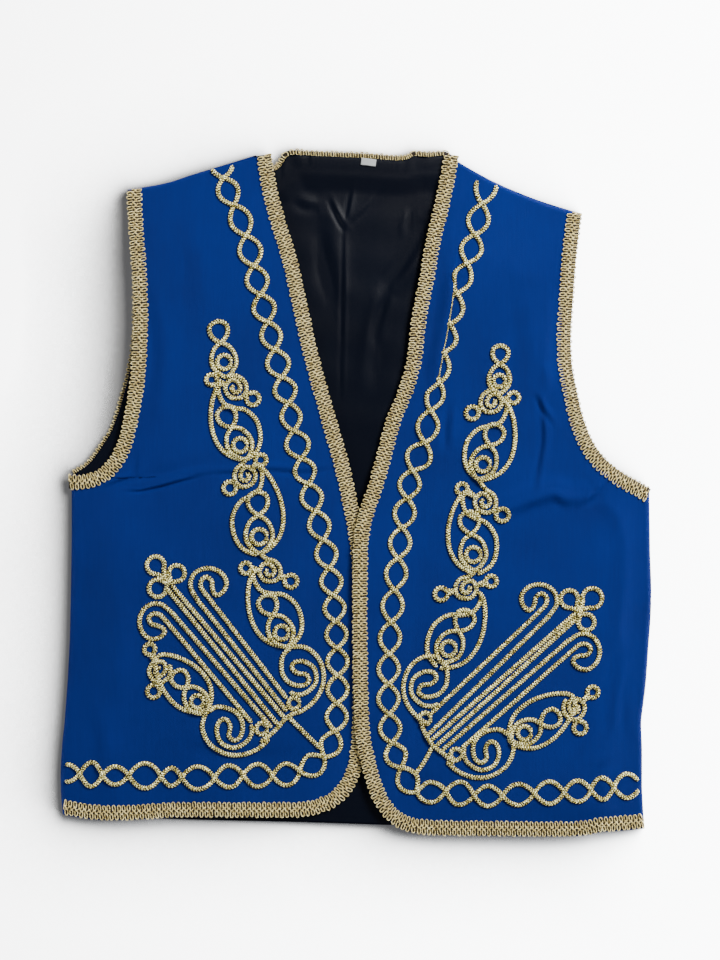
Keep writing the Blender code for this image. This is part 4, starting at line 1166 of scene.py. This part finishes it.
def satin_finish():
    """Black lining satin: a smooth face with fine threads along the back."""
    f = Finish("black_satin", Specular_IOR_Level=0.09)
    here = f.place()
    x = f.part(here, 0)
    threads = x.wave(SATIN_PITCH)
    slub = f.noise(f.stretched(here, (500.0, 30.0, 30.0)), 1.0, 2.0)
    color = f.blend(f.noise(here, 9.0).ramp(0.3, 0.7), SATIN_DARK, SATIN_LIGHT)
    return f.feed(Base_Color=color, Roughness=0.34 + slub * 0.04,
                  Normal=f.bump(threads + slub, 0.00002))


def gimp_finish():
    """Wound gold thread, bright, with fine turns; random cells of its colour are painted glints
    and painted shade.
    """
    f = Finish("gold_gimp", Metallic=0.35, Specular_IOR_Level=0.6)
    here, uv = f.place(), f.along()
    turns = (f.part(uv, 0) + f.part(uv, 1) / WIND_PITCH).wave(1.0)
    # painted glints and painted shade: random cells from dark to bright, with noise
    tone = f.part(f.cells(here, 1.0 / GIMP_GLINT), 0) * 0.7 + f.noise(here, 140.0, 2.0) * 0.5
    color = f.colors(tone + turns * 0.06 - 0.1, *GIMP_GOLD_SHADE_AND_GLINT)
    return f.feed(Base_Color=color, Roughness=0.28 + tone * 0.2,
                  Normal=f.bump(turns, 0.00007))


def cord_finish():
    """Knitted metal cord: slanting stitches on both halves of its back.

    The stitches run from the middle of the back to both edges; a painted highlight on each
    stitch's crest and random cells of painted glint give every stitch its own brightness, and
    painted shade darkens the eyes between them on the middle line.
    """
    f = Finish("gold_cord", Metallic=0.45, Specular_IOR_Level=0.6)
    here, uv = f.place(), f.along()
    away = (f.part(uv, 0) - 0.25).size()
    step = f.part(uv, 1) / (BEAD * MM)
    half = (f.part(uv, 0) - 0.25).ramp(-0.01, 0.01) * 0.5
    # painted highlight on each stitch's crest and painted shade between, also its relief
    stitch = (step + away * 1.6 + half).wave(1.0)
    # painted shade in the eyes on the middle line
    eye = step.wave(1.0) * (1.0 - away * 9.0).ramp(0.0, 1.0)
    cells = f.cells(here, 1.0 / CORD_GLINT)
    # painted glint: a random brightness for each cell, also its roughness
    glint = f.part(cells, 0)
    # colour from painted highlights, painted shade and painted glints, with random noise
    tone = stitch * 0.50 + eye * 0.24 + glint * 0.85 + f.noise(here, 200.0, 2.0) * 0.22
    lean = f.vector("MULTIPLY_ADD", cells, (0.7, 0.7, 0.7), (-0.35, -0.35, -0.35))
    facet = f.vector("NORMALIZE", f.vector("ADD", lean, f.outward()))
    return f.feed(Base_Color=f.colors(tone, *CORD_GOLD_SHADE_AND_GLINT), Roughness=0.22 + glint * 0.2,
                  Normal=f.bump(stitch + eye, 0.00020, Normal=facet))


def ground_and_shade_finish():
    """The dark strip below the gimp's threads: the braid's ground with its ribs, near black as
    painted shade in the gaps between the threads.
    """
    f = Finish("gimp_ground_and_shade", Roughness=0.8)
    uv = f.along()
    ribs = f.part(uv, 1).wave(STRIP_PITCH)
    # ribs of the ground, both colours near black: painted shade in the gaps between threads
    color = f.blend(ribs.ramp(-1.0, 1.0), STRIP_GROUND_AND_SHADE_DARK, STRIP_GROUND_AND_SHADE_LIGHT)
    return f.feed(Base_Color=color, Normal=f.bump(ribs, 0.0001))


def tab_finish():
    """White woven tab, with painted shade, a little grey, between its ribs."""
    f = Finish("white_tab", Roughness=0.7)
    here = f.place()
    ribs = f.part(here, 1).wave(TAB_PITCH)
    # painted shade: grey between the ribs
    color = f.blend(ribs.ramp(-1.0, 1.0), TAB_RIB_SHADE, TAB_LIGHT)
    return f.feed(Base_Color=color, Normal=f.bump(ribs, 0.00006))


def floor_finish():
    """Plain pale ground that glows though it is no lamp: less in a painted shadow on the vest's
    far side from the key light, and more to the right as a painted pool of light.
    """
    f = Finish("pale_ground", Roughness=0.9, Specular_IOR_Level=0.1,
               Emission_Strength=1.0)
    # painted shadow on the floor: ambient occlusion about a normal leaned toward the key, so the
    # floor darkens where the vest would shade it
    toward = f.node("ShaderNodeCombineXYZ", {}, dict(zip("XYZ", LOW_LIGHT)))
    painted_shadow = f.node("ShaderNodeAmbientOcclusion", {"samples": 24},
                 {"Distance": PAINTED_SHADOW_REACH, "Normal": toward}, output="AO").ramp(0.72, 1.0)
    # painted light: the glow brightens toward the right, where the key stands
    far = f.part(f.place(), 0).ramp(-0.3, 0.4)
    glow = f.blend(painted_shadow * painted_shadow, GLOW_IN_PAINTED_SHADOW, f.blend(far, GLOW_LEFT, GLOW_RIGHT))
    # the floor's colour, darkened by the same painted shadow
    color = f.blend(painted_shadow, FLOOR_PAINTED_SHADOW, FLOOR_LIGHT)
    return f.feed(Base_Color=color, Emission_Color=glow)


KEY_AT = (1.05, 1.05, 1.30)
# the way the floor's painted shadow leans, toward the key light
LOW_LIGHT = (0.97, 0.13, 0.20)
CLOTH_DARK, CLOTH_LIGHT = (0.0, 0.0092, 0.100), (0.0, 0.0132, 0.142)
SATIN_DARK, SATIN_LIGHT = (0.0006, 0.0013, 0.0044), (0.0014, 0.0026, 0.0072)
# the gimp's ground, near black as painted shade in the gaps between its threads
STRIP_GROUND_AND_SHADE_DARK, STRIP_GROUND_AND_SHADE_LIGHT = (0.010, 0.006, 0.003), (0.034, 0.022, 0.010)
# white tab, with painted shade between its ribs
TAB_RIB_SHADE, TAB_LIGHT = (0.30, 0.32, 0.32), (0.42, 0.44, 0.44)
# the floor's colour in its painted shadow, and outside it
FLOOR_PAINTED_SHADOW, FLOOR_LIGHT = (0.18, 0.18, 0.18), (0.92, 0.92, 0.92)
# the floor's glow, though it is no lamp: in its painted shadow, then a painted pool of light
# from left to right
GLOW_IN_PAINTED_SHADOW, GLOW_LEFT, GLOW_RIGHT = (0.05, 0.05, 0.05), (5.0, 5.05, 5.1), (9.5, 9.8, 9.9)
# how far the floor's painted shadow reaches, in metres
PAINTED_SHADOW_REACH = 0.085

# Pitches of threads and stitches, and the size of a cell of painted glint, in metres
TWILL_PITCH = 0.0009
THREAD_PITCH = 0.0005
SATIN_PITCH = 0.0006
WIND_PITCH = 0.0007
STRIP_PITCH = 0.0008
TAB_PITCH = 0.0007
GIMP_GLINT = 0.0009
CORD_GLINT = 0.0011

# Colours from dark to bright, each with its place on the ramp: the darkest are painted shade and
# the brightest painted glints
GIMP_GOLD_SHADE_AND_GLINT = ((0.10, (0.20, 0.135, 0.038)), (0.40, (0.58, 0.455, 0.17)),
             (0.70, (0.92, 0.77, 0.34)), (1.0, (1.0, 0.93, 0.58)))
CORD_GOLD_SHADE_AND_GLINT = ((0.05, (0.022, 0.015, 0.002)), (0.28, (0.14, 0.105, 0.020)),
             (0.52, (0.40, 0.315, 0.055)), (0.76, (0.92, 0.76, 0.17)),
             (0.97, (1.0, 1.0, 0.55)))
cloth = cloth_finish()
satin = satin_finish()
gimp_thread = gimp_finish()
gimp_ground_and_shade = ground_and_shade_finish()
cord_thread = cord_finish()
white = tab_finish()


# Camera, floor and light

CAMERA_UP = 1500.0
CAMERA_OVER = 7.0         # the plane that it is set up for, about the vest's upper face
SENSOR = 36.0
scene = bpy.context.scene
lens = bpy.data.cameras.new("camera")
lens.lens = SENSOR * CAMERA_UP / (PHOTO_SIZE[1] * PIXEL)
lens.clip_end = 20.0
camera = bpy.data.objects.new("camera", lens)
camera.location = (((PHOTO_SIZE[0] / 2 - ORIGIN_PIXEL[0]) * PIXEL + SHIFT[0]) * MM,
                   ((ORIGIN_PIXEL[1] - PHOTO_SIZE[1] / 2) * PIXEL + SHIFT[1]) * MM,
                   (CAMERA_UP + CAMERA_OVER) * MM)
scene.collection.objects.link(camera)
scene.camera = camera

ground = bpy.data.meshes.new("ground")
ground.from_pydata([(-6, -6, 0), (6, -6, 0), (6, 6, 0), (-6, 6, 0)], [], [(0, 1, 2, 3)])
ground.materials.append(floor_finish())
floor = bpy.data.objects.new("ground", ground)
scene.collection.objects.link(floor)
floor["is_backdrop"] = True


def softbox(name, at, size, power, color):
    """An area lamp that looks at the vest."""
    data = bpy.data.lights.new(name, "AREA")
    data.shape = "DISK"
    data.size = size
    data.energy = power
    data.color = color
    lamp = bpy.data.objects.new(name, data)
    lamp.location = at
    lamp.rotation_euler = (-Vector(at)).to_track_quat("-Z", "Y").to_euler()
    scene.collection.objects.link(lamp)


softbox("key", KEY_AT, 0.8, 95.0, (1.0, 0.99, 0.97))
softbox("fill", (-1.3, -0.7, 1.3), 1.2, 15.0, (0.97, 0.98, 1.0))
world = bpy.data.worlds.new("world")
world.use_nodes = True
world.node_tree.nodes["Background"].inputs["Color"].default_value = (0.95, 0.97, 1.0, 1)
world.node_tree.nodes["Background"].inputs["Strength"].default_value = 0.15
scene.world = world


# Back and lining

def dress(obj, slot, *nodes):
    """Put a piece on the vest in place of its solids."""
    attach(obj, "root")
    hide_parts(*nodes)
    return obj


right_side = smooth(RIGHT_SIDE, 6.0)
left_side = smooth(LEFT_SIDE, 6.0)
right_shoulder = smooth(RIGHT_SHOULDER, 6.0)
left_shoulder = smooth(LEFT_SHOULDER, 6.0)
back_top = at_once(right_shoulder, beside(smooth(BACK_NECK, 4.0), -NECK_EDGE_IN),
                   left_shoulder[::-1])
back_left = at_once(left_shoulder[:1], beside(smooth(BACK_LEFT_ARM, 5.0)[::-1], -ARM_EDGE_IN),
                    left_side[::-1])
back_right = at_once(right_side, beside(smooth(BACK_RIGHT_ARM, 5.0), -ARM_EDGE_IN),
                     right_shoulder[:1])
back_foot = beside(smooth(BACK_HEM, 6.0), HEM_EDGE_IN)
back_edge = np.vstack([back_top, back_left, back_foot[::-1], back_right])


def back_grid(cell, side_in, fine_across=(), fine_down=()):
    """Grid of places over the back, its side edges and shoulders moved in.

    The move falls off with the sixth power of the share from the middle to the side, and
    with the twelfth power of the share from the hem to the shoulders.
    """
    u = graded(BACK_SIZE[0], cell, ((0.0, *SHELL_EDGE), (1.0, *SHELL_EDGE), *fine_across))
    v = graded(BACK_SIZE[1], cell, ((0.0, *SHELL_NECK), (1.0, *SHELL_HEM), *fine_down))
    x, y = patch(back_top, back_foot, back_right[::-1], back_left, u, v)
    below_arm = 1 - step_up(y, *SIDE_MOVE)
    hold = (np.abs(2 * u - 1) ** 6)[None, :] * (ARM_MOVE + (1 - ARM_MOVE) * below_arm)
    x = x - np.sign(x) * side_in * hold
    top = (1 - v[:, None]) ** 12
    from_neck = step_up(np.abs(x - NECK_MIDDLE), *SHOULDER_MOVE)
    return x, y - side_in * top * from_neck


x, y = back_grid(SHELL_CELL, SHELL_SEAM_IN)
low = back_lift(x, y) + SHELL_LIFT
inner = step_up(nearest(back_edge, x, y)[0], *SHELL_INSIDE)
low = low + np.maximum(inner * (creases(BACK_CREASES, x, y) - SHELL_FLAT), 0)
high = np.minimum(low, back_lift(x, y) + SHELL_LOFT) + SHELL_T
low = np.minimum(low, high - SHELL_LEAST)
back = dress(make("cloth_back", [shell(x, y, low, high)], [cloth]), "blue_cloth", "back_shell")
back_area = grid_area(x, y)

x, y = back_grid(LINING_CELL, SEAM_IN, *LINING_FINE)
foot = lining_foot(x, y)
lining = dress(make("satin_lining", [shell(x, y, foot, foot + LINING_T)], [satin]),
               "black_satin", "back_lining")
lining_area = grid_area(x, y)


def under(x, y):
    """The ground, where the back's braids lie."""
    return 0.0 * x


# Each of the back's braids: name, node, edge, its side, and how far its edge curls up
for name, node, edge, turn, curl in (
        ("neck", "back_neck_braid", BACK_NECK, -1, 0.45),
        ("hem", "back_hem_braid", BACK_HEM, 1, 0.0),
        ("armhole_right", "back_armhole_braid_right", BACK_RIGHT_ARM, -1, 0.15),
        ("armhole_left", "back_armhole_braid_left", BACK_LEFT_ARM, 1, 0.15)):
    middle = beside(smooth(edge, BRAID_STEP), turn * BRAID_W / 2)
    parts = gimp(middle if turn < 0 else middle[::-1], under, curl, points=12)
    dress(make("gimp_back_" + name, parts, [gimp_thread, gimp_ground_and_shade]),
                              "gold_braid", node)


# Size tab: a bare strip, a little bowed
a, d = np.meshgrid(np.linspace(-TAB_HALF[0], TAB_HALF[0], 17),
                   np.linspace(-TAB_HALF[1], TAB_HALF[1], 9))
tilt = math.radians(TAB_TURN)
x = TAB_AT[0] + a * math.cos(tilt) - d * math.sin(tilt)
y = TAB_AT[1] + a * math.sin(tilt) + d * math.cos(tilt)
foot = TAB_FOOT + TAB_BOW * np.cos(math.pi * a / TAB_BOW_W) + TAB_SLOPE * d
tab = dress(make("size_tab_bare", [shell(x, y, foot, foot + TAB_T)], [white]), "white_tab",
            "size_tab")


# Fronts

def pleat_squeeze(path):
    """Keeps the left front's chain on the arm side of its pleat, edge-on at the step."""
    line = smooth(PLEAT, 3.0)
    order = np.argsort(line[:, 1])
    step = np.interp(path[:, 1], line[order, 1], line[order, 0])
    here = window(path[:, 1], SQUEEZE_FOOT, SQUEEZE_TOP) * (path[:, 0] < SQUEEZE_X)
    behind = np.maximum(step + SQUEEZE_GAP - path[:, 0], 0) * here
    slim = 1 - SQUEEZE * step_up(behind, *SQUEEZE_BEHIND)
    out = path.copy()
    out[:, 0] += behind
    return out, slim


def dress_front(side, turn, outline, corner, fine, surfaces, cords, squeeze):
    """One front: its cloth, its two braids and its cordwork.

    outline holds trim, side, armhole and shoulder; corner is where the front edge becomes
    the hem; fine holds the finer places across and down; surfaces are the cloth's foot
    and top; cords are the chain and its eyes, the column, the sprig and the fan.
    """
    trim, side_line, arm, shoulder = outline
    fine_across, fine_down = fine
    foot, top = surfaces
    chain, eyes, column, sprig, fan = cords
    edge, hole = smooth(trim, 4.0), smooth(arm, 4.0)
    rim = beside(edge, turn)
    split = int(np.argmin(np.linalg.norm(rim - np.array(corner), axis=1)))
    outer = at_once(beside(hole, turn)[::-1], side_line[::-1])
    u = graded(FRONT_SIZE[0], CLOTH_CELL, (*fine_across, (1.0, *CLOTH_EDGE)))
    v = graded(FRONT_SIZE[1], CLOTH_CELL, ((0.0, *CLOTH_EDGE), *fine_down))
    x, y = patch(shoulder[::-1], rim[split:], rim[:split + 1], outer, u, v)
    low = foot(x, y)
    name = "cloth_front_" + side
    front = dress(make(name, [shell(x, y, low, low + FRONT_T)], [cloth]), "blue_cloth",
                  "front_" + side)
    trims = []
    for kind, line in (("front_braid_", trim), ("armhole_braid_", arm)):
        middle = beside(smooth(line, BRAID_STEP), turn * BRAID_W / 2)
        if kind == "armhole_braid_":
            middle = np.vstack([middle[0] + ARM_PAST * (middle[0] - middle[1]), middle])
        trims.append(dress(make("gimp_" + kind + side, gimp(middle, top),
                                [gimp_thread, gimp_ground_and_shade]), "gold_braid", kind + side))
    laid = []
    for kind, strokes in (("chain_", chain_cords(chain, eyes)),
                          ("scroll_column_", column_cords(column)),
                          ("sprig_", column_cords(sprig)), ("fan_", fan_cords(fan))):
        parts = cordwork(strokes, laid, top, squeeze if kind == "chain_" else None)
        trims.append(dress(make("cord_" + kind + side, parts, [cord_thread]), "gold_cord",
                           kind + side))
    return front, trims, grid_area(x, y)


right, right_trims, right_area = dress_front(
    "right", -1, (RIGHT_TRIM, right_side, RIGHT_ARM, right_shoulder),
    RIGHT_CORNER, RIGHT_FINE, (right_foot, right_top),
    (RIGHT_CHAIN, RIGHT_EYES, RIGHT_COLUMN, RIGHT_SPRIG, RIGHT_FAN), None)
left, left_trims, left_area = dress_front(
    "left", 1, (LEFT_TRIM, left_side, LEFT_ARM, left_shoulder),
    LEFT_CORNER, LEFT_FINE, (left_foot, left_top),
    (LEFT_CHAIN, LEFT_EYES, LEFT_COLUMN, LEFT_SPRIG, LEFT_FAN), pleat_squeeze)

low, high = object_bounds()
